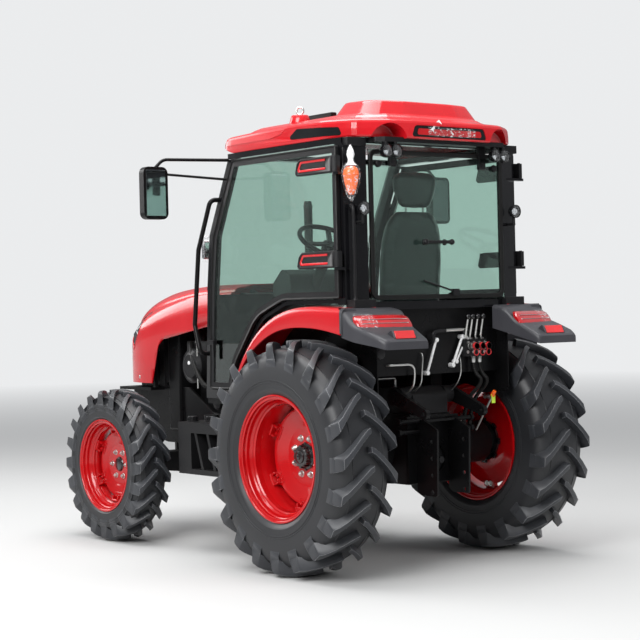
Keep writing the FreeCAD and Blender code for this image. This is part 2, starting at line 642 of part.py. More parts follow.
# Doors: a frame round one sheet of glass, hinged on the rear post
door_arc = over_tyre(((37.2, 198, 120), (58.8, 243.6, 250)))
door_corners = [(634, door_top_z), (832, 1780), (866, 1496), (899, door_foot_z, 20),
                (door_foot_x, door_foot_z, 25)]
door_corners += door_arc + [(200, door_sill_z, 250), (-284, door_sill_z, 12), (-284, door_top_z, 12)]
door_y = cab_half_width + 3
outer_wire = rounded_wire("xz", door_y, door_corners)
inner_wire = Part.Face(outer_wire).makeOffset2D(-door_border).Wires[0]
glass_wire = Part.Face(outer_wire).makeOffset2D(-door_border - seat_gap).Wires[0]
ring = Part.Face(outer_wire).extrude(Vector(0, door_thickness, 0)).cut(
    Part.Face(inner_wire).extrude(Vector(0, door_thickness, 0)))
door_glass = Part.Face(glass_wire).extrude(Vector(0, glass_thickness, 0))
door_glass.translate(Vector(0, 7, 0))
leaves = []
for z in hinge_spots:
    leaf = slab("xy", z, 80, [(-322, door_y + door_thickness - 1 + 7), (-322, 654, 8), (-30, 646, 8),
                              (0, 630),
                              (0, door_y + door_thickness - 1), (-284 + 2, door_y + door_thickness - 1)])
    leaves.append(leaf.cut(rod((door_hinge_x, door_hinge_y, z - 1), (door_hinge_x, door_hinge_y, z + 90),
                               door_hinge_radius + running_clearance)))
grip = fuse(box(820, 880, door_y + door_thickness - 1, 646, 1180, 1206), box(820, 838, 634, 646, 1100, 1206))
door_frame = fuse(ring, grip, *leaves)
for side, sign in (("left", 1), ("right", -1)):
    keep("door_frame_" + side, door_frame if sign == 1 else mirrored(door_frame))
    keep("door_glass_" + side, door_glass if sign == 1 else mirrored(door_glass))

# Roof: a band cut by its side profile, the raised rear centre and the hatch ahead of it
roof_half = 604.0
roof_low_z = rail_bottom_z + roof_rail_height + seat_gap
roof_corner_radius = 60.0
roof_rear_x = -462.0
vent_depth = 8.0
roof_plan_half = [(830, 430, 90), (760, roof_half, 90), (-160, roof_half, 300),
                  (-330, 548, roof_corner_radius),
                  (-435, 400, roof_corner_radius), (roof_rear_x, 230, 150)]
roof_plan = roof_plan_half + [(x, -y, radius) for x, y, radius in reversed(roof_plan_half)]


def above_rail(corners):
    """Side outline of the roof from corners (x, height over the cab's roof rail, fillet)."""
    return [(x, roof_low_z + height, *fillet) for x, height, *fillet in corners]


band_side = above_rail([(-600, -8), (-600, 88), (-440, 93), (130, 108, 400), (715, 92, 60), (850, 70),
                        (850, 50), (760, 32, 60),
                        (660, 0), (-448, 0), (-448, -8)])
band = slab("xy", roof_low_z - 40, 200, roof_plan).common(side_plate(-roof_half - 10, roof_half + 10,
                                                                     band_side))


def raised(steps, tilt=0.0):
    """Ruled body of the roof through (height, corners) steps; the corners of one side are mirrored."""
    sections = []
    for height, half in steps:
        ring = half + [(x, -y) for x, y in reversed(half)]
        sections.append([(x, y, roof_low_z + height + tilt * x) for x, y in ring])
    return loft(sections)


def roof_inset(inset):
    """Upright body over the roof's plan, drawn in by that much all round."""
    plan_wire = Part.Face(rounded_wire("xy", roof_low_z, roof_plan)).makeOffset2D(-inset).Wires[0]
    return Part.Face(plan_wire).extrude(Vector(0, 0, 100))


roof_deck = raised(((70, [(-425, 300), (-300, 490), (640, 500), (720, 400)]),
                    (118, [(-400, 280), (-285, 440), (610, 450), (682, 365)]),
                    (148, [(-345, 245), (-255, 385), (560, 400), (620, 330)])))
hump_tilt = 0.06
hump = raised(((80, [(-345, 215), (-315, 405), (-205, 440), (70, 400), (215, 290)]),
               (208, [(-297, 176), (-263, 329), (-174, 352), (44, 317), (131, 229)]),
               (219, [(-288, 168), (-254, 317), (-169, 338), (38, 303), (118, 218)]),
               (226, [(-268, 154), (-236, 296), (-158, 314), (26, 282), (98, 202)])), hump_tilt)
hatch = slab("xy", roof_low_z + 147, 37, [(250, -240, 40), (250, 240, 40), (560, 240, 40), (560, -240, 40)])
head_room = box(-250, 600, -500, 500, roof_low_z - 10, roof_low_z + 60)
roof = fuse(band, roof_deck, hump, hatch).cut(head_room)
# Cut into it: an arched pocket over each pair of work lamps, the stop lamp's slot and a vent in each side
for s in (1, -1):
    roof = roof.cut(rod((roof_rear_x - 100, s * 381, roof_low_z - 24), (-352, s * 381, roof_low_z - 24), 93))
slot_depth = 15.0
slot_corners = [(-262, 2, 12), (-240, 62, 24), (240, 62, 24), (262, 2, 12)]
slot = slab("yz", roof_rear_x - 100, 100 + slot_depth, [(y, roof_low_z + height, radius) for y, height,
                                                        radius in slot_corners])
roof = roof.cut(slot)
vent_reach = 90.0
vent_outline = above_rail([(155, 24, 12), (66, 76, 20), (-250, 57, 20), (-272, 12, 12)])
vent_pocket = side_plate(roof_half - vent_reach, roof_half + 20, vent_outline).cut(roof_inset(vent_depth))
roof = roof.cut(vent_pocket).cut(mirrored(vent_pocket))
keep("roof", roof)
overhang_top = roof_low_z - seat_gap
overhang = slab("xy", overhang_top - 25, 24.7,
                [(-343.3, -455), (-343.3, 455), (-385, 450, 20), (-428, 410, 15), (-428, -410, 15), (-385, -450, 20)])
keep("roof_overhang", overhang)
vent_corners = above_rail([(152, 26, 11), (65, 74, 19), (-248, 55, 19), (-269, 14, 11)])
vent = side_plate(roof_half - vent_reach, roof_half + 20, vent_corners).common(roof_inset(2))
vent = vent.cut(roof_inset(vent_depth - seat_gap))
keep("roof_vents", vent, mirrored(vent))
stop_lens = slab("yz", roof_rear_x + 4, slot_depth - 4 - seat_gap,
                 [(y, roof_low_z + height, 10) for y, height in ((-225, 14), (-215, 46), (215, 46),
                                                                 (225, 14))])
keep("stop_lamp", stop_lens)

# Fenders: a skin over the wheel with an inner wall, a lip outside and a foot in front
foot_z = fender_inside[0][1]
fender_lip = over_tyre(((22, -10), (32, 18), (46.4, 118, 60), (52.4, 56, 100), (66.1, 62, 200),
                        (82.3, 64, 300)))
fender_lip += [(fender_rear_x - 1, tyre_top_z + 30), (fender_rear_x - 1, floor_z)]
fender_skin_y = fender_inner_y + fender_wall + seat_gap
fender_edge_radius = 20.0


def rounded_shell(y0, y1, corners, rear_x, radius):
    """Plate over the tyre with its outer upper edge rounded."""
    plate = side_plate(y0, y1, corners)
    return eased(plate, radius,
                 lambda middle: abs(middle.y - y1) < 0.1 and middle.x > rear_x + 1 and math.hypot(
        middle.x, middle.z - rear_tyre_radius) > rear_tyre_radius + 45)


fender = rounded_shell(fender_skin_y, fender_outer_y, fender_line + [(fender_rear_x, foot_z)], fender_rear_x,
                       fender_edge_radius)
fender = fender.cut(rounded_shell(fender_skin_y - 1, fender_outer_y - fender_wall,
                                  fender_inside + [(fender_rear_x - 1, foot_z - 20)],
                                  fender_rear_x - 1, fender_edge_radius - fender_wall))
fender = fender.cut(side_plate(fender_outer_y - fender_wall - 1, fender_outer_y + 1, fender_lip))
tail_top = [(fender_rear_x - seat_gap, tyre_top_z + 156), (-455, tyre_top_z + 142, 30),
            (-530, tyre_top_z + 75, 20)]
tail_low = [(tail_x, tyre_top_z - 10, 6), (tail_x, tyre_top_z - 52, 6),
            (fender_rear_x - seat_gap, tyre_top_z + 30)]
tail = side_plate(345, fender_outer_y, tail_top + tail_low)
tail = eased(tail, fender_edge_radius,
             lambda middle: abs(middle.y - fender_outer_y) < 0.1 and middle.x < fender_rear_x - 1
             and middle.z > tyre_top_z + 8 + 0.55 * (middle.x - tail_x))
hollow = side_plate(390, fender_outer_y - 10,
                    [(fender_rear_x - 12, tyre_top_z + 140), (-450, tyre_top_z + 126),
                     (-520, tyre_top_z + 62),
                     (tail_x + 14, tyre_top_z - 22), (tail_x + 14, tyre_top_z - 70), (fender_rear_x - 12,
                                                                                      tyre_top_z + 10)])
corner = slab("xy", tyre_top_z - 110, 300, [(fender_rear_x + 10, 352), (fender_rear_x + 10, 720),
                                            (tail_x + 90, 720, 60),
                                            (tail_x, 660, 30), (tail_x, 384, 20), (-450, 378, 60)])
tail = tail.cut(hollow).common(corner)
keep("fenders", fender, mirrored(fender))
keep("fender_tails", tail, mirrored(tail))

# Hood: ruled through cross sections, hollowed, with an open bay each side
# Columns: x, half width low, crease z, crease half width, shoulder z, shoulder half width, top z
hood_sections = (
    (hood_rear_x, 335, 1440, 335, 1490, 300, 1522),
    (wheelbase - 384, 335, 1412, 335, 1476, 295, 1524),
    (wheelbase - 44, 335, 1350, 335, 1425, 285, 1505),
    (wheelbase + 196, 332, 1290, 328, 1372, 262, 1462),
    (wheelbase + 356, 295, 1235, 288, 1320, 225, 1405),
    (wheelbase + 456, 235, 1195, 225, 1270, 175, 1350),
    (nose_x, 185, 1180, 178, 1240, 135, 1315),
)
hood_low_z = 930.0


def hood_loft(wall):
    sections = []
    for x, wide, crease, crease_half, shoulder, shoulder_half, top in hood_sections:
        if wall and x == hood_rear_x:
            x = x - 1
        if wall and x == nose_x:
            x = x - wall
        rise = top - shoulder
        half = [(wide - wall, hood_low_z - wall), (crease_half - wall, crease - wall / 2),
                (shoulder_half + 8 - wall, shoulder - 14 - wall), (shoulder_half - 10 - wall, shoulder + 0.2 * rise - wall),
                (shoulder_half * 0.76, top - 0.3 * rise - wall), (shoulder_half * 0.40, top - wall)]
        sections.append([(x, y, z) for y, z in half] + [(x, -y, z) for y, z in reversed(half)])
    return loft(sections)


lamp_depth = 30.0
bay_middle_x = hood_rear_x + 0.36 * (wheelbase - 60 - hood_rear_x)
bay = side_plate(-400, 400, [(hood_rear_x - 84, 900), (hood_rear_x - 84, 1262), (hood_rear_x, 1272),
                             (bay_middle_x, 1275, 60),
                             (wheelbase - 60, 1201, 30), (wheelbase + 1, 1161, 60), (wheelbase + 73, 925)])
hood_outside = hood_loft(0)
lamp_outline = [(wheelbase + x, z) for x, z in ((151, 1375), (411, 1290), (411, 1215), (326, 1152),
                                                (231, 1262))]
lamp_window = side_plate(150, 360, lamp_outline)
hood = hood_outside.cut(hood_loft(hood_wall)).cut(bay).cut(lamp_window).cut(mirrored(lamp_window))
lens_outline = [(wheelbase + x, z) for x, z in ((153, 1374), (410, 1289.5), (410, 1215.3), (326, 1152.6),
                                                (232, 1262.3))]
lamp_lens = hood_outside.cut(hood_loft(lamp_depth)).common(side_plate(150 + seat_gap, 360, lens_outline))
grille_window = slab("yz", nose_x - 60, 120, [(-140, 960, 15), (-150, 1150, 20), (150, 1150, 20),
                                              (140, 960, 15)])
hood = hood.cut(grille_window)
hood_lugs = []
for s in (-170, 170):
    y0, y1 = (s + 6.5, s + 16) if s > 0 else (s - 16, s - 6.5)
    lug = side_plate(y0, y1, [(1088, 1462), (1088, 1514), (1150, 1514), (1120, 1462)])
    pin = rod((hood_hinge_x, s - 12, hood_hinge_z), (hood_hinge_x, s + 12, hood_hinge_z), 8)
    hood_lugs.append(lug.fuse(pin))
keep("hood", fuse(hood, *hood_lugs))
grille_back_x = nose_x - hood_wall - seat_gap
bars = [box(grille_back_x - 1, nose_x - 4, -136, 136, 972 + i * 34, 984 + i * 34) for i in range(5)]
grille = fuse(box(grille_back_x - 9, grille_back_x, -160, 160, 945, 1165), *bars)
keep("grille", grille)

# Seat, console and steering wheel
seat_x = 100.0
pedestal = loft([[(seat_x - 160, -150, 1040 + seat_gap), (seat_x + 160, -150, 1040 + seat_gap),
                  (seat_x + 160, 150, 1040 + seat_gap), (seat_x - 160, 150, 1040 + seat_gap)],
                 [(seat_x - 220, -200, 1290), (seat_x + 200, -200, 1290), (seat_x + 200, 200, 1290),
                  (seat_x - 220, 200, 1290)]])
keep("seat_pedestal", pedestal)
cushion = side_plate(-235, 235, [(-60, 1290 + seat_gap), (-60, 1400, 30), (370, 1420, 40), (390, 1300, 20),
                                 (340, 1290 + seat_gap)])
keep("seat_cushion", cushion)
back = side_plate(-225, 225, [(-60.3, 1330), (-60.3, 1430, 200), (-100, 1880, 60), (-200, 1890, 40),
                              (-150, 1330, 20)])
head_rest = side_plate(-120, 120, [(-120, 1930, 25), (-125, 2068, 35), (-205, 2070, 30), (-200, 1930, 25)])
head_posts = [rod((-160, s, 1870), (-160, s, 1931), 6) for s in (-60, 60)]
keep("seat_back", fuse(back, head_rest, *head_posts))
wheel_tilt = math.radians(32)
wheel_centre = Vector(560, 0, 1740)
wheel_axis = Vector(-math.sin(wheel_tilt), 0, math.cos(wheel_tilt))
column_foot = wheel_centre - wheel_axis * 420
console = side_plate(-110, 110, [(600, floor_z + seat_gap), (640, 1300), (700, 1440, 40), (860, 1480, 30),
                                 (900, 1440),
                                 (915, floor_z + seat_gap)])
panel = side_plate(-190, 190, [(690, 1440), (700, 1560, 30), (770, 1600, 30), (860, 1520, 30), (870, 1440)])
column_top = wheel_centre - wheel_axis * 55
column = Part.makeCylinder(32, (column_top - column_foot).Length, column_foot, wheel_axis)
shaft_hole = Part.makeCylinder(12 + running_clearance, 60, wheel_centre - wheel_axis * 110, wheel_axis)
keep("console", fuse(console, panel, column).cut(shaft_hole))
steer_ring = Part.makeTorus(185, 14, wheel_centre, wheel_axis)
steer_boss = Part.makeCylinder(42, 44, wheel_centre - wheel_axis * 52, wheel_axis)
steer_shaft = Part.makeCylinder(12, 60, wheel_centre - wheel_axis * 100, wheel_axis)
spokes = []
for i in range(3):
    spoke = box(20, 182, -14, 14, -7, 7)
    spoke.rotate(Vector(0, 0, 0), Vector(0, 0, 1), 90 + i * 120)
    spoke.rotate(Vector(0, 0, 0), Vector(0, 1, 0), -math.degrees(wheel_tilt))
    spoke.translate(wheel_centre - wheel_axis * 10)
    spokes.append(spoke)
keep("steering_wheel", fuse(steer_ring, steer_boss, steer_shaft, *spokes))

# Hydraulic housing, lift arms on their cross shaft, and the drawbar ladder
lift = side_plate(-120, 120, [(gearbox_rear_x, gearbox_top_z + seat_gap), (gearbox_rear_x, 900, 40),
                              (-200, 944, 30),
                              (60, 930, 30), (90, gearbox_top_z + seat_gap)])
lift_boss = [rod((lift_shaft_x, s * 119, lift_shaft_z), (lift_shaft_x, s * 180, lift_shaft_z),
                 46) for s in (1, -1)]
lift = fuse(lift, *lift_boss).cut(rod((lift_shaft_x, -190, lift_shaft_z), (lift_shaft_x, 190, lift_shaft_z),
                                      lift_shaft_radius + running_clearance))
keep("lift_housing", lift)
arm_end = (lift_shaft_x + lift_arm_reach[0], lift_shaft_z + lift_arm_reach[1])
lift_arms = [rod((lift_shaft_x, -218, lift_shaft_z), (lift_shaft_x, 218, lift_shaft_z), lift_shaft_radius)]
for s in (1, -1):
    y0, y1 = sorted((s * 188, s * 214))
    lift_arms.append(rod((lift_shaft_x, y0, lift_shaft_z), (lift_shaft_x, y1, lift_shaft_z), 44))
    lift_arms.append(rod((arm_end[0], y0, arm_end[1]), (arm_end[0], y1, arm_end[1]), 28))
    lift_arms.append(side_plate(y0, y1, [(lift_shaft_x - 14, lift_shaft_z - 42),
                                         (arm_end[0] - 9, arm_end[1] - 26),
                                         (arm_end[0] - 8, arm_end[1] + 27), (lift_shaft_x - 60,
                                                                             lift_shaft_z + 20),
                                         (lift_shaft_x - 14, lift_shaft_z + 42)]))
arms = fuse(*lift_arms)
for s in (1, -1):
    arms = arms.cut(rod((arm_end[0], s * 180, arm_end[1]), (arm_end[0], s * 220, arm_end[1]),
                        ladder_hole_radius))
keep("lift_arms", arms)

ladder_front = gearbox_rear_x - 14
plate_side = [(-423, 380, 12), (-433, 724, 6), (-330, 774, 6), (ladder_front, 774), (ladder_front, 400),
              (-300, 380, 12)]
ladder = []
for s in (1, -1):
    y0, y1 = sorted((s * ladder_half_gap, s * (ladder_half_gap + ladder_plate)))
    ladder.append(side_plate(y0, y1, plate_side))
ladder.append(box(-330, ladder_front, -ladder_half_gap - 1, ladder_half_gap + 1, 762, 774))
mount_plate = box(ladder_front - 1, gearbox_rear_x, -178, 178, 440, 790)
mount_plate = mount_plate.cut(rod((ladder_front - 5, 0, pto_z), (gearbox_rear_x + 1, 0, pto_z), 80))
ladder.append(mount_plate)
for s in (1, -1):
    for z in (768, 712):
        ladder.append(rod((-292, s * (ladder_half_gap + 5), z), (-292, s * 252, z), 11))
        ladder.append(rod((-292, s * 244, z), (-292, s * 262, z), 17))
hitch = fuse(*ladder)
for z in ladder_hole_z:
    hitch = hitch.cut(rod((ladder_hole_x, -130, z), (ladder_hole_x, 130, z), ladder_hole_radius))
keep("drawbar_ladder", hitch)

valve_z = 1150.0
valves = box(-345, -290 - seat_gap, -330, -180, 1095, 1185)
couplers = [rod((-344, y, valve_z), (-400, y, valve_z), 17) for y in (-300, -255, -210)]
levers = [rod((-318, y, 1184), (-318, y, 1214), 5) for y in (-315, -275, -235, -195)]
knobs = [rod((-318, y, 1212), (-318, y, 1240), 13) for y in (-315, -275, -235, -195)]
keep("hydraulic_valves", fuse(valves, *couplers, *levers, *knobs))
socket = rod((-290 - seat_gap, 418, 1130), (-352, 418, 1130), 27)
keep("trailer_socket", socket)
hoses = [tube(11, 60, [(-318, y, 1095 - seat_gap), (-318, y, 1010), (-360, y - 40, 960), (-230, y - 10, 850),
                       (-230, y, 701)])
         for y in (-300, -255)]
trumpet_top_z = rear_tyre_radius + 97.0
lift_line = tube(8, 30, [(-40, 60, 936.1), (-40, 60, 985), (-40, 300, 985), (-40, 300, trumpet_top_z)])
keep("hydraulic_lines", lift_line, *hoses)

# Mirrors: a head on a bent tube from the top of the front pillar, steadied by a thinner rod
mirror_arm_z = rail_bottom_z - 4.0
mirror_arm_x = front_of_pillar(mirror_arm_z) - 11.0
mirror_head_x = mirror_arm_x + 80.0
mirror_head_y = cab_half_width + 350.0
mirror_width = 154.0
mirror_top_z = mirror_arm_z - 43.0
mirror_height = 283.0
arm_upper = tube(9, 60, [(mirror_arm_x, cab_half_width + 3, mirror_arm_z),
                         (mirror_arm_x + 110, mirror_head_y + 10, mirror_arm_z),
                         (mirror_arm_x + 110, mirror_head_y + 70, mirror_arm_z - 56)])
head_y = (mirror_head_y, mirror_head_y + mirror_width)
head_z = (mirror_top_z - mirror_height, mirror_top_z)
mirror_head = slab("yz", mirror_head_x, 45, [(head_y[0], head_z[0], 35), (head_y[1], head_z[0], 35),
                                             (head_y[1], head_z[1], 35),
                                             (head_y[0], head_z[1], 35)])
stay_z = mirror_arm_z - 106.0
arm_lower = rod((front_of_pillar(stay_z) - 50, cab_half_width + 2.2, stay_z),
                (mirror_head_x + 42, mirror_head_y + 50, stay_z + 30), 7)
mirror = fuse(mirror_head, arm_upper, arm_lower)
keep("mirrors", mirror, mirrored(mirror))

# Grab rails: one bent tube beside each door
grab_top_z = rail_bottom_z - 216.0
grab_top_x = front_of_pillar(grab_top_z) - 4.0
grab_root_y = cab_half_width + seat_gap
grab_y = cab_half_width + 55.0
rail = tube(13, 32, [(grab_top_x, grab_root_y, grab_top_z), (grab_top_x, grab_y, grab_top_z),
                     (grab_top_x + 130, grab_y, grab_top_z - 273),
                     (985, grab_y, door_foot_z + 356), (935, grab_y, door_foot_z + 195), (935, grab_root_y,
                                                                                          door_foot_z + 195)])
keep("grab_rails", rail, mirrored(rail))

# Lamps and the wrapped beacon; the lamps of a kind are one node
tail_lamps = []
work_lamps = []
post_lamps = []
front_lamps = []
head_lamps = []
work_lamp_z = rail_bottom_z - 32.0
post_lamp_z = rail_bottom_z - 332.0
front_lamp_z = rail_bottom_z - 500.0
front_lamp_x = front_of_pillar(front_lamp_z) + 39.3
for sign in (1, -1):
    lamp = side_plate(425, 675, [(-533, 1300), (-562, 1290), (-566, 1252), (-545, 1238)]).cut(tail)
    reflector = box(-668, -640, 520 - 62, 520 + 62, 1180, 1240).cut(tail)
    for one in (max(lamp.Solids, key=lambda s: s.Volume), max(reflector.Solids, key=lambda s: s.Volume)):
        tail_lamps.append(one if sign == 1 else mirrored(one))
    for y in (345, 410):
        work_lamps.append(fuse(rod((-400, sign * y, work_lamp_z), (-446, sign * y, work_lamp_z - 8), 31),
                               box(-425, -405, sign * y - 6, sign * y + 6, work_lamp_z - 8,
                                   overhang_top - 25 - seat_gap)))
    stalk = tube(7, 25, [(-329.5, sign * 529, post_lamp_z - 68), (-372, sign * 529, post_lamp_z - 68),
                         (-372, sign * 529, post_lamp_z - 18)])
    post_lamps.append(fuse(stalk, rod((-350, sign * 529, post_lamp_z), (-394, sign * 529, post_lamp_z), 36)))
    front_lamps.append(fuse(box(front_lamp_x, front_lamp_x + 42, sign * 572 - 30, sign * 572 + 30,
                                front_lamp_z - 60, front_lamp_z + 100),
                            rod((front_lamp_x - 37.6, sign * 572, front_lamp_z),
                                (front_lamp_x + 2, sign * 572, front_lamp_z), 9)))
    head_lamps.append(lamp_lens if sign == 1 else mirrored(lamp_lens))
keep("tail_lamps", *tail_lamps)
keep("cab_lamps", *work_lamps, *post_lamps, *front_lamps)
keep("head_lamps", *head_lamps)
beacon = []
beacon_steps = ((-300, 30), (-210, 50), (-140, 24), (-10, 12))
for (low, wide), (high, narrow) in zip(beacon_steps, beacon_steps[1:]):
    beacon.append(rod((-362, 590, rail_bottom_z + low), (-362, 590, rail_bottom_z + high), wide, narrow))
keep("beacon", fuse(*beacon))

for name, shape in pieces.items():
    shape.translate(Vector(-origin_x, 0, 0))
    shape.exportStep("parts/" + name + ".step")
    print(name, len(shape.Solids), shape.isValid(), round(shape.Volume / 1e6, 2))
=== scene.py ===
import bpy
from math import atan2, cos, degrees, hypot, pi, radians, sin, sqrt, tan
from mathutils import Matrix, Vector


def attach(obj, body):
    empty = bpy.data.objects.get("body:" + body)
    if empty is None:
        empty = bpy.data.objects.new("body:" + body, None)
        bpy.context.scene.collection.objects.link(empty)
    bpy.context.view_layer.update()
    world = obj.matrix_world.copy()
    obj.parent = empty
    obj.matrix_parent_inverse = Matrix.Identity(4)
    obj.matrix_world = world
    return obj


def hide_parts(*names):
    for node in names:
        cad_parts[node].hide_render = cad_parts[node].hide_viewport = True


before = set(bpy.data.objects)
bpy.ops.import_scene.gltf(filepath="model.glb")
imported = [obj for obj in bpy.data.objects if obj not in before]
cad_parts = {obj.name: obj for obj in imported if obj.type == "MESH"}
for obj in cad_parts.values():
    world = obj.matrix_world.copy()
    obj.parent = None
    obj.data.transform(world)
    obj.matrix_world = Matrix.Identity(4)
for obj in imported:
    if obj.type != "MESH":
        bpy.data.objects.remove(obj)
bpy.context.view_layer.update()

# Camera: at eye height behind the left rear wheel, level, with a long lens.
# It stands eight metres off and rolls a little to the left.
camera_place = Vector((-7.7852, 5.9173, 1.3704))
camera_right = Vector((-0.61315, -0.78959, -0.02425))
camera_up = Vector((-0.00928, -0.02350, 0.99968))
camera_turn = Matrix((camera_right, camera_up, camera_right.cross(camera_up))).transposed().to_euler()
bpy.ops.object.camera_add(location=camera_place, rotation=camera_turn)
camera = bpy.context.object
camera.name = "camera"
camera.data.sensor_width = 36.0
camera.data.lens = 36.0 * 1686.57 / 640
camera.data.clip_end = 200
bpy.context.scene.camera = camera
bpy.context.scene.view_settings.view_transform = "Standard"

# Studio: soft boxes over the tractor, a broad one at the camera's side and a dimmer one across.
# The sheet overhead gives the paint and the glass their long soft highlights.
for name, place, aim, size, power in (
        ("key_box", (-3.0, 6.5, 5.5), (0, 0, 1.0), 4.5, 620),
        ("top_box", (0.2, 0.2, 6.5), (0, 0, 1.0), 5.0, 480),
        ("tail_box", (-7.5, -3.5, 3.6), (0, 0, 1.0), 3.5, 260),
        ("nose_box", (7.0, 3.0, 4.0), (0, 0, 1.0), 4.0, 260)):
    aimed = (Vector(aim) - Vector(place)).to_track_quat("-Z", "Y").to_euler()
    bpy.ops.object.light_add(type="AREA", location=place, rotation=aimed)
    bpy.context.object.name = name
    bpy.context.object.data.size = size
    bpy.context.object.data.energy = power
    bpy.context.object.visible_glossy = name != "tail_box"
    bpy.context.object.visible_transmission = False

# Floor: one wide pale disc that fades into the pale surround before its rim.
# The surround is near white for the eye and a plain soft grey for the light that it gives.
bpy.ops.object.select_all(action="DESELECT")
bpy.ops.mesh.primitive_circle_add(vertices=96, radius=60, fill_type="NGON")
floor = bpy.context.object
floor.name = "floor"
floor_look = bpy.data.materials.new("pale_floor")
floor_look.use_nodes = True
nodes = floor_look.node_tree.nodes
links = floor_look.node_tree.links
shader = nodes["Principled BSDF"]
shader.inputs["Base Color"].default_value = (0.47, 0.47, 0.465, 1)
shader.inputs["Roughness"].default_value = 0.85
coordinates = nodes.new("ShaderNodeTexCoord")
distance = nodes.new("ShaderNodeVectorMath")
distance.operation = "LENGTH"
fade = nodes.new("ShaderNodeMapRange")
fade.inputs["From Min"].default_value = 6.0
fade.inputs["From Max"].default_value = 24.0
glow = nodes.new("ShaderNodeEmission")
glow.inputs["Color"].default_value = (0.83, 0.84, 0.85, 1)
mix = nodes.new("ShaderNodeMixShader")
links.new(coordinates.outputs["Object"], distance.inputs[0])
links.new(distance.outputs["Value"], fade.inputs["Value"])
links.new(fade.outputs["Result"], mix.inputs["Fac"])
links.new(shader.outputs["BSDF"], mix.inputs[1])
links.new(glow.outputs["Emission"], mix.inputs[2])
links.new(mix.outputs["Shader"], nodes["Material Output"].inputs["Surface"])
floor.data.materials.append(floor_look)

surround = bpy.data.worlds.new("surround")
surround.use_nodes = True
nodes = surround.node_tree.nodes
links = surround.node_tree.links
soft_light = nodes["Background"]
soft_light.inputs["Color"].default_value = (0.82, 0.84, 0.87, 1)
sky = nodes.new("ShaderNodeTexCoord")
sky_parts = nodes.new("ShaderNodeSeparateXYZ")
sky_level = nodes.new("ShaderNodeMapRange")
sky_level.interpolation_type = "SMOOTHSTEP"
sky_level.inputs["From Min"].default_value = 0.0
sky_level.inputs["From Max"].default_value = 0.75
sky_level.inputs["To Min"].default_value = 0.20
sky_level.inputs["To Max"].default_value = 0.72
links.new(sky.outputs["Generated"], sky_parts.inputs["Vector"])
links.new(sky_parts.outputs["Z"], sky_level.inputs["Value"])
links.new(sky_level.outputs["Result"], soft_light.inputs["Strength"])
seen = nodes.new("ShaderNodeBackground")
seen.inputs["Color"].default_value = (0.83, 0.84, 0.85, 1)
rays = nodes.new("ShaderNodeLightPath")
seen_rays = nodes.new("ShaderNodeMath")
seen_rays.operation = "MAXIMUM"
mix = nodes.new("ShaderNodeMixShader")
links.new(rays.outputs["Is Camera Ray"], seen_rays.inputs[0])
links.new(rays.outputs["Is Transmission Ray"], seen_rays.inputs[1])
links.new(seen_rays.outputs["Value"], mix.inputs["Fac"])
links.new(soft_light.outputs["Background"], mix.inputs[1])
links.new(seen.outputs["Background"], mix.inputs[2])
links.new(mix.outputs["Shader"], nodes["World Output"].inputs["Surface"])
bpy.context.scene.world = surround

# Wear: every finish on the tractor is new, but has a grain, a little unevenness and some yard dust.
# The group gives a finish its colour, roughness and normal; its dust settles on what faces up.
wear = bpy.data.node_groups.new("finish_wear", "ShaderNodeTree")
for name, kind, value in (("Colour", "NodeSocketColor", (0.5, 0.5, 0.5, 1)), ("Dust Colour", "NodeSocketColor", (0.3, 0.28, 0.25, 1)),
                          ("Dust", "NodeSocketFloat", 0.1), ("Unevenness", "NodeSocketFloat", 0.1),
                          ("Roughness", "NodeSocketFloat", 0.4), ("Grain Size", "NodeSocketFloat", 300.0),
                          ("Grain Depth", "NodeSocketFloat", 0.05)):
    wear.interface.new_socket(name, in_out="INPUT", socket_type=kind).default_value = value
for name, kind in (("Colour", "NodeSocketColor"), ("Roughness", "NodeSocketFloat"), ("Normal", "NodeSocketVector")):
    wear.interface.new_socket(name, in_out="OUTPUT", socket_type=kind)
nodes = wear.nodes
links = wear.links
given = nodes.new("NodeGroupInput")
result = nodes.new("NodeGroupOutput")
coordinates = nodes.new("ShaderNodeTexCoord")
cloud = nodes.new("ShaderNodeTexNoise")
cloud.inputs["Scale"].default_value = 5.0
cloud.inputs["Detail"].default_value = 6.0
links.new(coordinates.outputs["Object"], cloud.inputs["Vector"])
shade = nodes.new("ShaderNodeMapRange")
shade.inputs["From Min"].default_value = 0.3
shade.inputs["From Max"].default_value = 0.7
shade.inputs["To Min"].default_value = -1.0
shade.inputs["To Max"].default_value = 1.0
links.new(cloud.outputs["Fac"], shade.inputs["Value"])
swing = nodes.new("ShaderNodeMath")
swing.operation = "MULTIPLY_ADD"
swing.inputs[2].default_value = 1.0
links.new(shade.outputs["Result"], swing.inputs[0])
links.new(given.outputs["Unevenness"], swing.inputs[1])
toned = nodes.new("ShaderNodeVectorMath")
toned.operation = "SCALE"
links.new(given.outputs["Colour"], toned.inputs[0])
links.new(swing.outputs["Value"], toned.inputs["Scale"])
facing = nodes.new("ShaderNodeNewGeometry")
split = nodes.new("ShaderNodeSeparateXYZ")
links.new(facing.outputs["Normal"], split.inputs["Vector"])
upward = nodes.new("ShaderNodeMapRange")
upward.inputs["From Min"].default_value = 0.1
upward.inputs["From Max"].default_value = 1.0
upward.inputs["To Min"].default_value = 0.25
upward.inputs["To Max"].default_value = 1.0
links.new(split.outputs["Z"], upward.inputs["Value"])
speck = nodes.new("ShaderNodeTexNoise")
speck.inputs["Scale"].default_value = 26.0
speck.inputs["Detail"].default_value = 8.0
speck.inputs["Roughness"].default_value = 0.7
links.new(coordinates.outputs["Object"], speck.inputs["Vector"])
settled = nodes.new("ShaderNodeMath")
settled.operation = "MULTIPLY"
links.new(upward.outputs["Result"], settled.inputs[0])
links.new(speck.outputs["Fac"], settled.inputs[1])
dusty = nodes.new("ShaderNodeMath")
dusty.operation = "MULTIPLY"
dusty.use_clamp = True
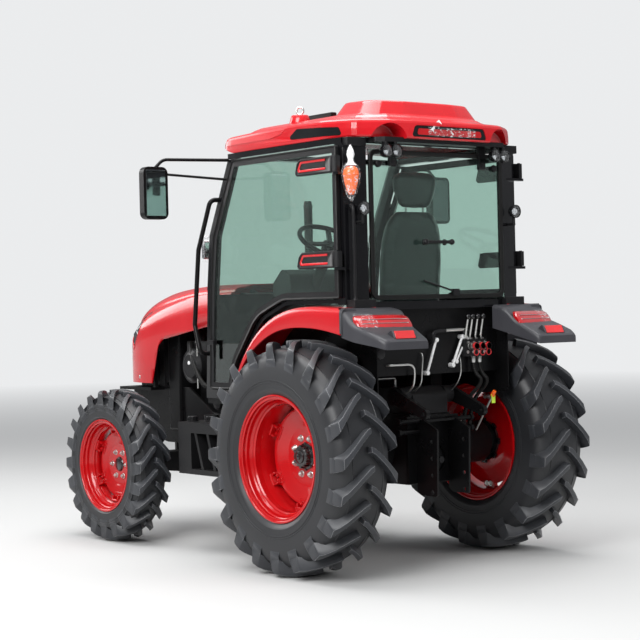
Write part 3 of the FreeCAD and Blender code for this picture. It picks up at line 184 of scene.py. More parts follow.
links.new(settled.outputs["Value"], dusty.inputs[0])
links.new(given.outputs["Dust"], dusty.inputs[1])
covered = nodes.new("ShaderNodeMix")
covered.data_type = "RGBA"
links.new(dusty.outputs["Value"], covered.inputs["Factor"])
links.new(toned.outputs["Vector"], covered.inputs["A"])
links.new(given.outputs["Dust Colour"], covered.inputs["B"])
links.new(covered.outputs["Result"], result.inputs["Colour"])
rough = nodes.new("ShaderNodeMath")
rough.operation = "MULTIPLY_ADD"
links.new(shade.outputs["Result"], rough.inputs[0])
rough.inputs[1].default_value = 0.03
links.new(given.outputs["Roughness"], rough.inputs[2])
rougher = nodes.new("ShaderNodeMath")
rougher.operation = "MULTIPLY_ADD"
rougher.use_clamp = True
rougher.inputs[1].default_value = 0.6
links.new(dusty.outputs["Value"], rougher.inputs[0])
links.new(rough.outputs["Value"], rougher.inputs[2])
links.new(rougher.outputs["Value"], result.inputs["Roughness"])
grain = nodes.new("ShaderNodeTexNoise")
grain.inputs["Detail"].default_value = 3.0
links.new(coordinates.outputs["Object"], grain.inputs["Vector"])
links.new(given.outputs["Grain Size"], grain.inputs["Scale"])
raised = nodes.new("ShaderNodeBump")
raised.inputs["Distance"].default_value = 0.002
links.new(grain.outputs["Fac"], raised.inputs["Height"])
links.new(given.outputs["Grain Depth"], raised.inputs["Strength"])
links.new(raised.outputs["Normal"], result.inputs["Normal"])


def finish(name, colour, roughness, metallic=0.0, coat=0.0, dust=0.1, unevenness=0.08, grain_size=300.0, grain_depth=0.05,
           dust_colour=(0.33, 0.30, 0.27), specular=0.5):
    """A material with one shader, its colour, roughness and normal through the wear group."""
    look = bpy.data.materials.new(name)
    look.use_nodes = True
    surface = look.node_tree.nodes["Principled BSDF"]
    worn = look.node_tree.nodes.new("ShaderNodeGroup")
    worn.node_tree = wear
    worn.inputs["Colour"].default_value = (*colour, 1)
    worn.inputs["Dust Colour"].default_value = (*dust_colour, 1)
    worn.inputs["Dust"].default_value = dust
    worn.inputs["Unevenness"].default_value = unevenness
    worn.inputs["Roughness"].default_value = roughness
    worn.inputs["Grain Size"].default_value = grain_size
    worn.inputs["Grain Depth"].default_value = grain_depth
    look.node_tree.links.new(worn.outputs["Colour"], surface.inputs["Base Color"])
    look.node_tree.links.new(worn.outputs["Roughness"], surface.inputs["Roughness"])
    look.node_tree.links.new(worn.outputs["Normal"], surface.inputs["Normal"])
    surface.inputs["Metallic"].default_value = metallic
    surface.inputs["Coat Weight"].default_value = coat
    surface.inputs["Coat Roughness"].default_value = 0.04
    surface.inputs["Specular IOR Level"].default_value = specular
    return look


def dress(node, *looks):
    """A CAD node keeps its mesh and takes these materials."""
    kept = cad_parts[node]
    kept.data.materials.clear()
    for look in looks:
        kept.data.materials.append(look)


# Castings: gearbox, axles, lift housing and engine are grey iron under a satin black coat.
# The sand grain of the mould shows through the paint.
casting_black = finish("casting_black", (0.008, 0.008, 0.009), 0.40, dust=0.05, unevenness=0.2, grain_size=420, grain_depth=0.35, specular=0.22)
frame_black = finish("frame_black", (0.0045, 0.0045, 0.005), 0.28, dust=0.025, unevenness=0.1, grain_size=900, grain_depth=0.015, specular=0.16)
for node in ("gearbox", "lift_housing", "front_axle", "knuckle_left", "knuckle_right", "engine"):
    dress(node, casting_black)
for node in ("front_frame", "steering_rod", "drawbar_ladder", "lift_arms", "cab_frame", "cowl", "cab_floor", "grab_rails",
             "mirrors", "roof_overhang"):
    dress(node, frame_black)


# Rear and front tyres: cross-ply rubber with twenty bars a side that lead at the centre line.
# Carcass turned from its section; one bar is shaped over the crown and down the shoulder, then set round.
rear_axle = Vector((-0.8425, 0, 0.605))
front_axle = Vector((1.0415, 0, 0.455))


def start_mesh(name):
    """An empty mesh object at the origin, in edit mode."""
    bpy.ops.object.select_all(action="DESELECT")
    bpy.ops.mesh.primitive_plane_add(size=0.01, location=(0, 0, 0), enter_editmode=True)
    bpy.ops.mesh.delete(type="VERT")
    bpy.context.object.name = name
    bpy.context.object.data.name = name
    return bpy.context.object


def draw(points):
    """In edit mode: one vertex at the first point, extruded from point to point."""
    bpy.ops.mesh.select_all(action="DESELECT")
    bpy.ops.mesh.primitive_plane_add(size=0.001, location=points[0])
    bpy.ops.mesh.merge(type="CENTER")
    here = Vector(points[0])
    for point in points[1:]:
        bpy.ops.mesh.extrude_vertices_move(TRANSFORM_OT_translate={"value": Vector(point) - here})
        here = Vector(point)


def close_mesh(smooth=None):
    """Merges doubles, turns the faces outwards and leaves edit mode."""
    bpy.ops.mesh.select_all(action="SELECT")
    bpy.ops.mesh.remove_doubles(threshold=0.00001)
    bpy.ops.mesh.normals_make_consistent(inside=False)
    bpy.ops.object.mode_set(mode="OBJECT")
    if smooth:
        bpy.ops.object.shade_smooth_by_angle(angle=radians(smooth))
    return bpy.context.object


def turned(name, profile, centre, steps=96, smooth=32, axis=(0, 1, 0)):
    """A ring spun about an axis through centre, from a section of (radius, distance along the axis)."""
    start_mesh(name)
    axis = Vector(axis)
    out = Vector((0, 0, 1)) if abs(axis.z) < 0.5 else Vector((1, 0, 0))
    draw([Vector(centre) + out * r + axis * along for r, along in profile])
    bpy.ops.mesh.select_all(action="SELECT")
    bpy.ops.mesh.spin(steps=steps, angle=2 * pi, center=centre, axis=axis)
    return close_mesh(smooth)


def laid(name, rows, round_rows=False, smooth=None, ends=True):
    """A grid laid over a form: its points are pulled to the rows. Round rows close into a tube with flat ends."""
    bpy.ops.object.select_all(action="DESELECT")
    across = len(rows[0])
    bpy.ops.mesh.primitive_grid_add(x_subdivisions=across - 1, y_subdivisions=len(rows) - 1, size=1)
    piece = bpy.context.object
    piece.name = name
    piece.data.name = name
    for point, place in zip(piece.data.vertices, [place for row in rows for place in row]):
        point.co = place
    bpy.ops.object.mode_set(mode="EDIT")
    bpy.ops.mesh.select_all(action="SELECT")
    bpy.ops.mesh.remove_doubles(threshold=0.00001)
    if round_rows and ends:
        bpy.ops.mesh.select_all(action="DESELECT")
        bpy.ops.mesh.select_non_manifold()
        bpy.ops.mesh.fill_holes(sides=0)
    return close_mesh(smooth)


def soften(piece, width, segments=2, angle=30, material=-1):
    """A bevel modifier, applied, on the piece's edges; the bevel may take another of its materials."""
    bpy.context.view_layer.objects.active = piece
    bpy.ops.object.modifier_add(type="BEVEL")
    bevel = piece.modifiers[-1]
    bevel.width = width
    bevel.segments = segments
    bevel.limit_method = "ANGLE"
    bevel.angle_limit = radians(angle)
    bevel.material = material
    bpy.ops.object.modifier_apply(modifier=bevel.name)
    return piece


def again(piece, matrix, name=None):
    """A copy of a piece with its own mesh, moved by a matrix; its faces stay outwards."""
    copy = piece.copy()
    copy.data = piece.data.copy()
    bpy.context.scene.collection.objects.link(copy)
    copy.data.transform(matrix)
    if matrix.determinant() < 0:
        copy.data.flip_normals()
    if name:
        copy.name = name
        copy.data.name = name
    return copy


def join(pieces, name):
    """Several pieces become one mesh."""
    bpy.ops.object.select_all(action="DESELECT")
    for piece in pieces:
        piece.select_set(True)
    bpy.context.view_layer.objects.active = pieces[0]
    bpy.ops.object.join()
    pieces[0].name = name
    pieces[0].data.name = name
    return pieces[0]


def fit(piece, look, body, slot, *stands_for):
    """A finished piece takes its material, rides on its body and may stand for CAD nodes."""
    if look:
        piece.data.materials.clear()
        piece.data.materials.append(look)
    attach(piece, body)
    if stands_for:
        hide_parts(*stands_for)
    return piece


across_y = Matrix.Scale(-1, 4, Vector((0, 1, 0)))


# One rubber in three colours: carcass; bars lighter and bluer, a painted sky sheen with some dust; bar edges pale grey,
# partly scuffing, partly painted highlight.
rubber = finish("tyre_rubber", (0.0135, 0.0142, 0.0165), 0.44, dust=0.12, unevenness=0.16, grain_size=240, grain_depth=0.12,
                dust_colour=(0.15, 0.15, 0.15))
bar_rubber_painted_sheen = finish("bar_rubber_painted_sheen", (0.026, 0.028, 0.033), 0.40, dust=0.20, unevenness=0.22, grain_size=200, grain_depth=0.14,
                    dust_colour=(0.18, 0.18, 0.18))
scuff_and_highlight = finish("scuff_and_highlight_rubber", (0.24, 0.245, 0.255), 0.50, dust=0.35, unevenness=0.35, grain_size=150, grain_depth=0.20,
                 dust_colour=(0.26, 0.26, 0.25))


def tyre(name, radius, width, flange_radius, rim_width, lug_height):
    """A tyre about the origin: turned carcass and forty bars."""
    crown = radius - lug_height
    half = width / 2
    bead = rim_width / 2 - 0.012
    belly = flange_radius + 0.42 * (crown - flange_radius)
    ring = flange_radius + 0.026
    section = [
        (flange_radius - 0.020, bead - 0.004), (flange_radius - 0.008, bead + 0.004), (flange_radius + 0.004, bead + 0.008),
        (flange_radius + 0.010, bead + 0.016), (ring, half * 0.955), (ring + 0.005, half * 0.965), (ring + 0.008, half * 0.962),
        (ring + 0.030, half * 0.985), (ring + 0.034, half * 0.987), (ring + 0.035, half * 0.987 + 0.0022), (ring + 0.038, half * 0.987 + 0.0022),
        (ring + 0.039, half * 0.988), (ring + 0.046, half * 0.990), (ring + 0.047, half * 0.990 + 0.0018), (ring + 0.050, half * 0.990 + 0.0018),
        (ring + 0.051, half * 0.991), (belly, half - 0.001), (belly + 0.03, half - 0.0015), (crown - 0.075, half - 0.004),
        (crown - 0.052, half - 0.010), (crown - 0.032, half - 0.024), (crown - 0.017, half * 0.78),
        (crown - 0.008, half * 0.58), (crown - 0.0045, half * 0.57), (crown - 0.004, half * 0.55), (crown - 0.006, half * 0.54),
        (crown - 0.002, half * 0.28), (crown, 0.0)]
    section = section + [(r, -y) for r, y in reversed(section[:-1])]
    section += [(flange_radius - 0.020, -(bead - 0.035)), (belly, -(half - 0.016)), (crown - 0.03, -half * 0.6),
                (crown - 0.03, half * 0.6), (belly, half - 0.016), (flange_radius - 0.020, bead - 0.035)]
    section.append(section[0])
    carcass = turned(name, section, (0, 0, 0), steps=120, smooth=40)
    for look in (rubber, scuff_and_highlight, bar_rubber_painted_sheen):
        carcass.data.materials.append(look)
    # Stations of a bar: share of the half width, top radius, foot radius, lead in degrees, half widths at top and foot
    stations = (
        (-0.035, radius - 0.001, crown - 0.010, 15.6, 0.0125, 0.0165),
        (0.10, radius, crown - 0.012, 14.4, 0.0150, 0.0195),
        (0.35, radius - 0.001, crown - 0.016, 11.0, 0.0155, 0.0205),
        (0.62, radius - 0.004, crown - 0.024, 6.8, 0.0170, 0.0225),
        (0.84, radius - 0.010, crown - 0.036, 3.0, 0.0200, 0.0260),
        (0.985, radius - 0.019, crown - 0.052, 0.6, 0.0240, 0.0300),
        (1.0, radius - 0.030, crown - 0.060, 0.1, 0.0255, 0.0315),
        (1.0, radius - 0.062, crown - 0.078, -0.5, 0.0275, 0.0335),
        (0.985, radius - 0.097, crown - 0.097, -0.8, 0.0310, 0.0360))
    rows = []
    for share, top, foot, lead, top_half, foot_half in stations:
        shoulder = top - 0.35 * (top - foot)
        row = []
        for r, spread in ((foot, -foot_half), (shoulder, -top_half * 1.12), (top, -top_half), (top, top_half),
                          (shoulder, top_half * 1.18), (foot, foot_half * 1.12), (foot, -foot_half)):
            turn = radians(lead) + spread / r
            row.append((r * sin(turn), share * half, r * cos(turn)))
        rows.append(row)
    bar = laid("bar", rows, round_rows=True)
    for look in (rubber, scuff_and_highlight, bar_rubber_painted_sheen):
        bar.data.materials.append(look)
    # The bars take the lighter rubber with its painted sheen; their bevelled edges take the pale grey of scuffing and
    # painted highlight.
    for face in bar.data.polygons:
        face.material_index = 2
    soften(bar, 0.0058, 2, 38, material=1)
    bpy.ops.object.shade_smooth_by_angle(angle=radians(45))
    step = 2 * pi / 20
    bars = [carcass]
    for side, shift in ((Matrix.Identity(4), 0.0), (across_y, step / 2)):
        for i in range(20):
            bars.append(again(bar, Matrix.Rotation(shift + i * step, 4, "Y") @ side))
    bpy.data.objects.remove(bar)
    return join(bars, name)


for kind, radius, width, flange, rim_width, lug, axle, track in (
        ("rear", 0.605, 0.345, 0.330, 0.305, 0.038, rear_axle, 0.685),
        ("front", 0.455, 0.215, 0.279, 0.203, 0.030, front_axle, 0.645)):
    master = tyre(kind + "_tyre_master", radius, width, flange, rim_width, lug)
    for side, sign in (("left", 1), ("right", -1)):
        name = kind + "_tyre_" + side
        shift = Matrix.Translation(axle + Vector((0, sign * track, 0)))
        one = again(master, shift @ (Matrix.Identity(4) if sign > 0 else across_y), name + "_rubber")
        fit(one, None, kind + "_wheel_" + side, "tyre_rubber", name)
    bpy.data.objects.remove(master)


# Wheels: pressed steel rims in gloss red, each with an inset disc held by six pairs of bolted ears.
# The rim and the disc are turned; the ears, nuts and ribs of the black hub are set round them.
wheel_red = finish("wheel_red", (0.46, 0.0012, 0.0035), 0.17, coat=0.25, specular=0.4, dust=0.03, unevenness=0.06, grain_size=160, grain_depth=0.02)
zinc = finish("zinc_steel", (0.62, 0.62, 0.60), 0.30, metallic=1.0, dust=0.1, unevenness=0.15)
hub_black = finish("hub_black", (0.010, 0.009, 0.010), 0.20, dust=0.05, coat=0.5, grain_size=500, grain_depth=0.12)


def nut(place, across, height, axis="Y", washer=True):
    """A hexagonal nut on its washer, with the bolt's end standing out of it. Its far side looks along the axis."""
    turn = {"X": (0, pi / 2, 0), "Y": (-pi / 2, 0, 0), "Z": (0, 0, 0)}[axis]
    way = {"X": Vector((1, 0, 0)), "Y": Vector((0, 1, 0)), "Z": Vector((0, 0, 1))}[axis]
    place = Vector(place)
    sizes = [(6, across * 0.577, height, 0.5 * height), (12, across * 0.27, height * 0.5, height * 1.2)]
    if washer:
        sizes.append((20, across * 0.78, height * 0.2, 0.05 * height))
    made = []
    for sides, radius, depth, along in sizes:
        bpy.ops.object.select_all(action="DESELECT")
        bpy.ops.mesh.primitive_cylinder_add(vertices=sides, radius=radius, depth=depth, location=place + way * along, rotation=turn)
        bpy.ops.object.transform_apply(location=True, rotation=True)
        made.append(soften(bpy.context.object, across * 0.05, 1, 50))
    return join(made, "nut")


def block(name, low, high, edge=0.002, segments=2):
    """A box between two corners with bevelled edges."""
    bpy.ops.object.select_all(action="DESELECT")
    middle = (Vector(low) + Vector(high)) / 2
    bpy.ops.mesh.primitive_cube_add(size=1, location=middle, scale=Vector(high) - Vector(low))
    bpy.ops.object.transform_apply(location=True, rotation=True, scale=True)
    bpy.context.object.name = name
    bpy.context.object.data.name = name
    if edge:
        soften(bpy.context.object, edge, segments)
    return bpy.context.object


def ring_of(piece, count, start=0.0, axis="Y"):
    """Copies of a piece set round the axis through the origin; the first stays."""
    return [piece] + [again(piece, Matrix.Rotation(start + i * 2 * pi / count, 4, axis)) for i in range(1, count)]


def wheel(name, flange, half, face, edge, hub_hole, bolt_circle, bolts, first_bolt, nut_size):
    """Rim, disc, ears and bolts about the origin; returns the red piece and the zinc piece."""
    lip = flange - 0.330
    side = [(0.306, -0.011), (0.326, -0.010), (0.3295, -0.007), (0.330, -0.0035), (0.3285, -0.001), (0.325, 0.0), (0.3215, -0.0005),
            (0.3190, -0.0035), (0.3178, -0.0085), (0.3165, -0.0115), (0.3120, -0.0130), (0.3098, -0.0155), (0.3088, -0.0220),
            (0.3072, -0.0270), (0.3030, -0.0295), (0.3005, -0.0330), (0.2995, -0.0420), (0.2982, -0.0500), (0.2945, -0.0560),
            (0.2900, -0.0600), (0.2870, -0.0680)]
    outer = [(r + lip, half + y) for r, y in side]
    inner = [(r, -y) for r, y in reversed(outer)]
    well = 0.271 + lip
    depth = half - 0.068
    bowl = [(well + 0.0105, depth * 0.62), (well + 0.005, depth * 0.3), (well + 0.0015, 0.0), (well + 0.002, -depth * 0.5),
            (well + 0.006, -depth * 0.85)]
    back = [(0.306 + lip, -half + 0.050), (0.280 + lip, -half + 0.074), (0.280 + lip, half - 0.074), (0.306 + lip, half - 0.050)]
    rim = turned(name + "_rim", outer + bowl + inner + back + [outer[0]], (0, 0, 0), steps=112, smooth=40)
    flat = edge * 0.62
    dish = 0.022 if flange > 0.3 else 0.014
    disc = turned(name + "_disc", [
        (hub_hole, face - 0.009), (hub_hole, face - 0.001), (hub_hole + 0.001, face), (flat - 0.004, face), (flat + 0.004, face + 0.0015),
        (flat + 0.012, face + 0.006), (edge - 0.022, face + dish - 0.006), (edge - 0.010, face + dish - 0.001), (edge - 0.002, face + dish - 0.001),
        (edge, face + dish - 0.003), (edge, face + dish - 0.009), (flat + 0.014, face - 0.004), (flat, face - 0.009),
        (hub_hole, face - 0.009)], (0, 0, 0), steps=96, smooth=35)
    reach = well + 0.0015
    foot = face + dish
    plate = block("plate", (-0.040, foot - 0.012, edge - 0.030), (0.040, foot - 0.002, reach - 0.010), 0.003)
    saddle = block("saddle", (-0.034, foot - 0.002, reach - 0.014), (0.034, foot + 0.034, reach + 0.002), 0.004)
    cheeks = [block("cheek", (x - 0.006, foot - 0.004, reach - 0.034), (x + 0.006, foot + 0.026, reach), 0.004, 3) for x in (-0.028, 0.028)]
    heads = [nut((x, foot - 0.002, edge - 0.004), 0.021, 0.011) for x in (-0.014, 0.014)]
    ears = ring_of(join([plate, saddle, *cheeks, *heads], "ears"), 6)
    red = join([rim, disc, *ears], name + "_pressings")
    first = Matrix.Rotation(radians(first_bolt), 4, "Y")
    nuts = []
    for i in range(bolts):
        one = nut((bolt_circle, face, 0), nut_size, nut_size * 0.62)
        one.data.transform(Matrix.Rotation(i * 2 * pi / bolts, 4, "Y") @ first)
        nuts.append(one)
    for i in range(6):
        for x in (-0.014, 0.014):
            one = nut((x, 0, edge - 0.004), 0.019, 0.010)
            one.data.transform(Matrix.Rotation(i * pi / 3, 4, "Y") @ Matrix.Translation((0, foot - 0.012, 0)) @ Matrix.Rotation(pi, 4, "Z"))
            nuts.append(one)
    return red, join(nuts, name + "_nuts")


def hub(name, profile, collar, ribs):
    """The black hub about the origin: a turned nose and flange, with ribs round the nose."""
    body = turned(name, profile, (0, 0, 0), steps=64, smooth=35)
    pieces = [body]
    for count, low, high in ribs:
        pieces += ring_of(block("rib", low, high, 0.0015), count)
    pieces += ring_of(block("lobe", collar[0], collar[1], 0.004), 8)
    return join(pieces, name)


rear_nose = [(0.0, 0.014), (0.009, 0.014), (0.014, 0.011), (0.016, 0.006), (0.030, 0.005), (0.034, 0.002), (0.035, -0.003), (0.050, -0.004),
             (0.053, -0.007), (0.0535, -0.034), (0.056, -0.037), (0.065, -0.0385), (0.069, -0.041), (0.0690, -0.0448), (0.0618, -0.0453), (0.0618, -0.0543),
             (0.112, -0.0545), (0.114, -0.058), (0.114, -0.0725), (0.080, -0.0725), (0.078, -0.1045), (0.039, -0.1045), (0.039, -0.24), (0.0, -0.24)]
front_nose = [(0.0, -0.006), (0.034, -0.006), (0.0375, -0.0075), (0.039, -0.011), (0.0434, -0.0165), (0.0434, -0.0263), (0.080, -0.0265),
              (0.082, -0.030), (0.082, -0.0443), (0.057, -0.0443), (0.057, -0.0563), (0.0315, -0.0563), (0.0315, -0.114), (0.0, -0.114)]
masters = {
    "rear": (*wheel("rear", 0.330, 0.1525, -0.045, 0.249, 0.0623, 0.0997, 8, 22.5, 0.024),
             hub("rear_hub", rear_nose, ((-0.017, -0.0725, 0.098), (0.017, -0.056, 0.1275)),
                 ((12, (-0.004, -0.036, 0.050), (0.004, -0.0065, 0.0585)), (6, (-0.008, -0.0115, 0.045), (0.008, -0.0035, 0.0605)),
                  (8, (-0.0065, -0.0445, 0.062), (0.0065, -0.036, 0.0740))))),
    "front": (*wheel("front", 0.279, 0.1015, -0.017, 0.198, 0.0443, 0.080, 6, 0, 0.021),
              hub("front_hub", front_nose, ((-0.013, -0.0443, 0.070), (0.013, -0.028, 0.0915)), ())),
}
for kind, axle, track in (("rear", rear_axle, 0.685), ("front", front_axle, 0.645)):
    for side, sign in (("left", 1), ("right", -1)):
        node = kind + "_wheel_" + side
        shift = Matrix.Translation(axle + Vector((0, sign * track, 0))) @ (Matrix.Identity(4) if sign > 0 else across_y)
        for master, look, ending, slot in zip(masters[kind], (wheel_red, zinc, hub_black), ("_rim", "_nuts", "_hub"),
                                              ("wheel_red", "zinc_steel", "dark_casting")):
            one = again(master, shift, node + ending)
            fit(one, look, node, slot, *((node,) if ending == "_rim" else ()))
    for master in masters[kind]:
        bpy.data.objects.remove(master)


# Roof: one moulded shell in gloss red, with arched pockets over the work lamps and a slot for the stop lamp.
# Rings of its plan are laid one over the other from the underside to the deck; the raised centre sits on it.
red_paint = finish("red_paint", (0.50, 0.0030, 0.0085), 0.20, coat=0.3, specular=0.45, dust=0.04, unevenness=0.05, grain_size=120, grain_depth=0.015)
smoked = finish("smoked_plastic", (0.006, 0.007, 0.008), 0.10, dust=0.02, coat=0.3, specular=0.4)
roof_low = 2.2303


def at(x, y, z):
    """A point measured from the rear axle's middle, as in the construction."""
    return Vector((x - 0.8425, y, z))


def rounded(corners, closed=True, steps=6):
    """A flat outline with its corners (u, v, radius) turned into arcs of straight steps."""
    line = []
    count = len(corners)
    for i, corner in enumerate(corners):
        here = Vector(corner[:2])
        radius = corner[2] if len(corner) > 2 else 0
        if not radius or (not closed and i in (0, count - 1)):
            line.append(here)
            continue
        back = (Vector(corners[i - 1][:2]) - here).normalized()
        ahead = (Vector(corners[(i + 1) % count][:2]) - here).normalized()
        half = back.angle(ahead) / 2
        centre = here + (back + ahead).normalized() * radius / sin(half)
        start = here + back * radius / tan(half) - centre
        end = here + ahead * radius / tan(half) - centre
        turn = start.angle_signed(end)
        for k in range(steps + 1):
            line.append(centre + Matrix.Rotation(-turn * k / steps, 2) @ start)
    return line


def spaced(line, count, closed=False):
    """The same line in equal steps."""
    points = list(line) + ([line[0]] if closed else [])
    lengths = [0.0]
    for a, b in zip(points, points[1:]):
        lengths.append(lengths[-1] + (b - a).length)
    result = []
    k = 0
    for i in range(count):
        want = lengths[-1] * i / (count if closed else count - 1)
        while k < len(lengths) - 2 and lengths[k + 1] < want:
            k += 1
        span = max(lengths[k + 1] - lengths[k], 1e-9)
        result.append(points[k].lerp(points[k + 1], min(1.0, (want - lengths[k]) / span)))
    return result


def height_of(line, x):
    """The height of a line given as (x, height) corners."""
    for (x0, z0), (x1, z1) in zip(line, line[1:]):
        if x <= x1:
            break
    return z0 + (z1 - z0) * min(1.0, max(0.0, (x - x0) / (x1 - x0)))


def prism(name, plane, low, high, outline, edge=0.0):
    """An outline drawn in a plane and extruded from one level to another."""
    put = {"xz": lambda u, v, w: at(u, w, v), "xy": lambda u, v, w: at(u, v, w), "yz": lambda u, v, w: at(w, u, v)}[plane]
    piece = start_mesh(name)
    points = [put(u, v, low) for u, v in outline]
    draw(points + points[:1])
    bpy.ops.mesh.select_all(action="SELECT")
    bpy.ops.mesh.remove_doubles(threshold=0.00001)
    bpy.ops.mesh.edge_face_add()
    bpy.ops.mesh.extrude_region_move(TRANSFORM_OT_translate={"value": put(0, 0, high) - put(0, 0, low)})
    close_mesh(30)
    return soften(piece, edge) if edge else piece


def cut(piece, *cutters):
    """Takes cutters away from a piece and removes them."""
    for cutter in cutters:
        bpy.ops.object.select_all(action="DESELECT")
        bpy.context.view_layer.objects.active = piece
        bpy.ops.object.modifier_add(type="BOOLEAN")
        taken = piece.modifiers[-1]
        taken.operation = "DIFFERENCE"
        taken.solver = "EXACT"
        taken.object = cutter
        bpy.ops.object.modifier_apply(modifier=taken.name)
        bpy.data.objects.remove(cutter)
    bpy.ops.object.shade_smooth_by_angle(angle=radians(30))
    return piece


def rod(name, start, end, radius, far_radius=None, vertices=24, edge=0.0):
    """A round bar or cone between two points."""
    run = Vector(end) - Vector(start)
    bpy.ops.object.select_all(action="DESELECT")
    bpy.ops.mesh.primitive_cone_add(vertices=vertices, radius1=radius, radius2=radius if far_radius is None else far_radius,
                                    depth=run.length, location=(Vector(start) + Vector(end)) / 2,
                                    rotation=run.to_track_quat("Z", "Y").to_euler())
    bpy.ops.object.transform_apply(location=True, rotation=True)
    bpy.context.object.name = name
    bpy.context.object.data.name = name
    if edge:
        soften(bpy.context.object, edge, 2, 40)
    bpy.ops.object.shade_smooth_by_angle(angle=radians(35))
    return bpy.context.object


def skin(piece, thickness):
    """Gives a sheet its thickness, inwards."""
    bpy.context.view_layer.objects.active = piece
    bpy.ops.object.modifier_add(type="SOLIDIFY")
    wall = piece.modifiers[-1]
    wall.thickness = thickness
    wall.offset = -1
    bpy.ops.object.modifier_apply(modifier=wall.name)
    bpy.ops.object.shade_smooth_by_angle(angle=radians(30))
    return piece


plan_half = [(0.830, 0.430, 0.12), (0.760, 0.604, 0.12), (-0.160, 0.604, 0.30), (-0.330, 0.548, 0.07), (-0.435, 0.400, 0.08),
             (-0.462, 0.230, 0.15)]
plan = plan_half + [(x, -y, radius) for x, y, radius in reversed(plan_half)]
plan_ring = spaced(rounded(plan, steps=10), 160, closed=True)
upper_line = ((-0.60, 0.088), (-0.44, 0.093), (0.0, 0.105), (0.13, 0.107), (0.30, 0.105), (0.715, 0.092), (0.85, 0.070))
lower_line = ((-0.60, -0.008), (-0.448, -0.008), (-0.440, 0.0), (0.660, 0.0), (0.760, 0.032), (0.85, 0.050))
rows = []
for inset, share, rise, deck in ((0.050, 0, 0.004, 0), (0.012, 0, 0.0, 0), (0.003, 0, 0.003, 0), (0.0, 0, 0.010, 0), (0.0005, 0.45, 0, 0),
                                 (0.003, 1, -0.022, 0), (0.007, 1, -0.011, 0), (0.014, 1, -0.004, 0), (0.026, 1, 0.0, 0),
                                 (0.070, 1, 0.004, 0), (0.104, 0, 0, 0.112), (0.122, 0, 0, 0.124), (0.150, 0, 0, 0.137),
                                 (0.190, 0, 0, 0.145), (0.240, 0, 0, 0.148)):
    row = []
    for point in plan_ring:
        low = height_of(lower_line, point.x)
        high = height_of(upper_line, point.x)
        height = deck if deck else low + share * (high - low) + rise
        row.append(at(0.169 + (point.x - 0.169) * (1 - inset / 0.632), point.y * (1 - inset / 0.604), roof_low + height))
    rows.append(row + row[:1])
shell = laid("roof_shell", rows, round_rows=True)
hump_low = [(-0.345, 0.215, 0.06), (-0.315, 0.405, 0.10), (-0.205, 0.440, 0.12), (0.070, 0.400, 0.20), (0.215, 0.290, 0.07)]
hump_high = [(-0.288, 0.168, 0.05), (-0.254, 0.317, 0.06), (-0.169, 0.338, 0.09), (0.038, 0.303, 0.15), (0.118, 0.218, 0.05)]
hump_crown = [(-0.268, 0.154, 0.05), (-0.236, 0.296, 0.06), (-0.158, 0.314, 0.09), (0.026, 0.282, 0.15), (0.098, 0.202, 0.05)]
rings = [spaced(rounded(half + [(x, -y, r) for x, y, r in reversed(half)], steps=8), 120, closed=True)
         for half in (hump_low, hump_high, hump_crown)]
rows = []
for share, height in ((0.0, 0.080), (0.30, 0.1217), (0.60, 0.1634), (0.90, 0.2051), (0.95, 0.2120), (0.985, 0.2158), (1.02, 0.2185),
                      (1.25, 0.2218), (1.6, 0.2238), (2.0, 0.2250), (3.0, 0.2262)):
    low, high = (rings[0], rings[1]) if share <= 1 else (rings[1], rings[2])
    row = [a.lerp(b, share if share <= 1 else share - 1) for a, b in zip(low, high)]
    row = [at(point.x, point.y, roof_low + height + 0.06 * point.x) for point in row]
    rows.append(row + row[:1])
hump = laid("roof_hump", rows, round_rows=True, smooth=35)
pockets = [rod("pocket", at(-0.62, side * 0.381, roof_low - 0.024), at(-0.352, side * 0.381, roof_low - 0.024), 0.093, vertices=64, edge=0.012)
           for side in (1, -1)]
slot_outline = rounded([(-0.262, roof_low + 0.002, 0.012), (-0.240, roof_low + 0.062, 0.024), (0.240, roof_low + 0.062, 0.024),
                        (0.262, roof_low + 0.002, 0.012)])
slot = prism("slot", "yz", -0.62, -0.447, slot_outline)
vent_line = rounded([(0.155, roof_low + 0.024, 0.012), (0.066, roof_low + 0.076, 0.020), (-0.250, roof_low + 0.057, 0.020),
                     (-0.272, roof_low + 0.012, 0.012)])
drawn_in = [(x - 0.0075 * (x > 0.7) + 0.0075 * (x < -0.4), y - 0.0075 if y > 0 else y + 0.0075, radius) for x, y, radius in plan]
step_line = rounded([(0.80, 2.10), (0.78, 2.274), (0.30, 2.276, 0.06), (0.205, 2.292, 0.05), (0.118, 2.350, 0.01), (-0.70, 2.350), (-0.70, 2.10)])
cutters = []
for side in (1, -1):
    inside = prism("inside", "xy", roof_low, roof_low + 0.10, rounded(drawn_in, steps=10))
    cutters.append(cut(prism("vent", "xz", side * 0.51, side * 0.64, vent_line), inside))
    cutters.append(prism("step", "xz", side * 0.5998, side * 0.66, step_line))
shell = cut(shell, slot, *cutters)
shell = cut(shell, *pockets)
soften(shell, 0.0016, 2, 32)
bpy.ops.object.shade_smooth_by_angle(angle=radians(38))
fit(shell, red_paint, "chassis", "red_paint", "roof")
fit(hump, red_paint, "chassis", "red_paint")
bezel = prism("stop_bezel", "yz", -0.4472, -0.4555, rounded([(-0.2605, roof_low + 0.003, 0.012), (-0.239, roof_low + 0.0605, 0.024),
                                                             (0.239, roof_low + 0.0605, 0.024), (0.2605, roof_low + 0.003, 0.012)]), 0.0015)
fit(bezel, smoked, "chassis", "black_plastic")
hatch = prism("roof_hatch", "xy", roof_low + 0.140, roof_low + 0.184,
              rounded([(0.250, -0.240, 0.05), (0.250, 0.240, 0.05), (0.560, 0.240, 0.05), (0.560, -0.240, 0.05)]), 0.010)
fit(hatch, red_paint, "chassis", "red_paint")
dress("roof_vents", smoked)

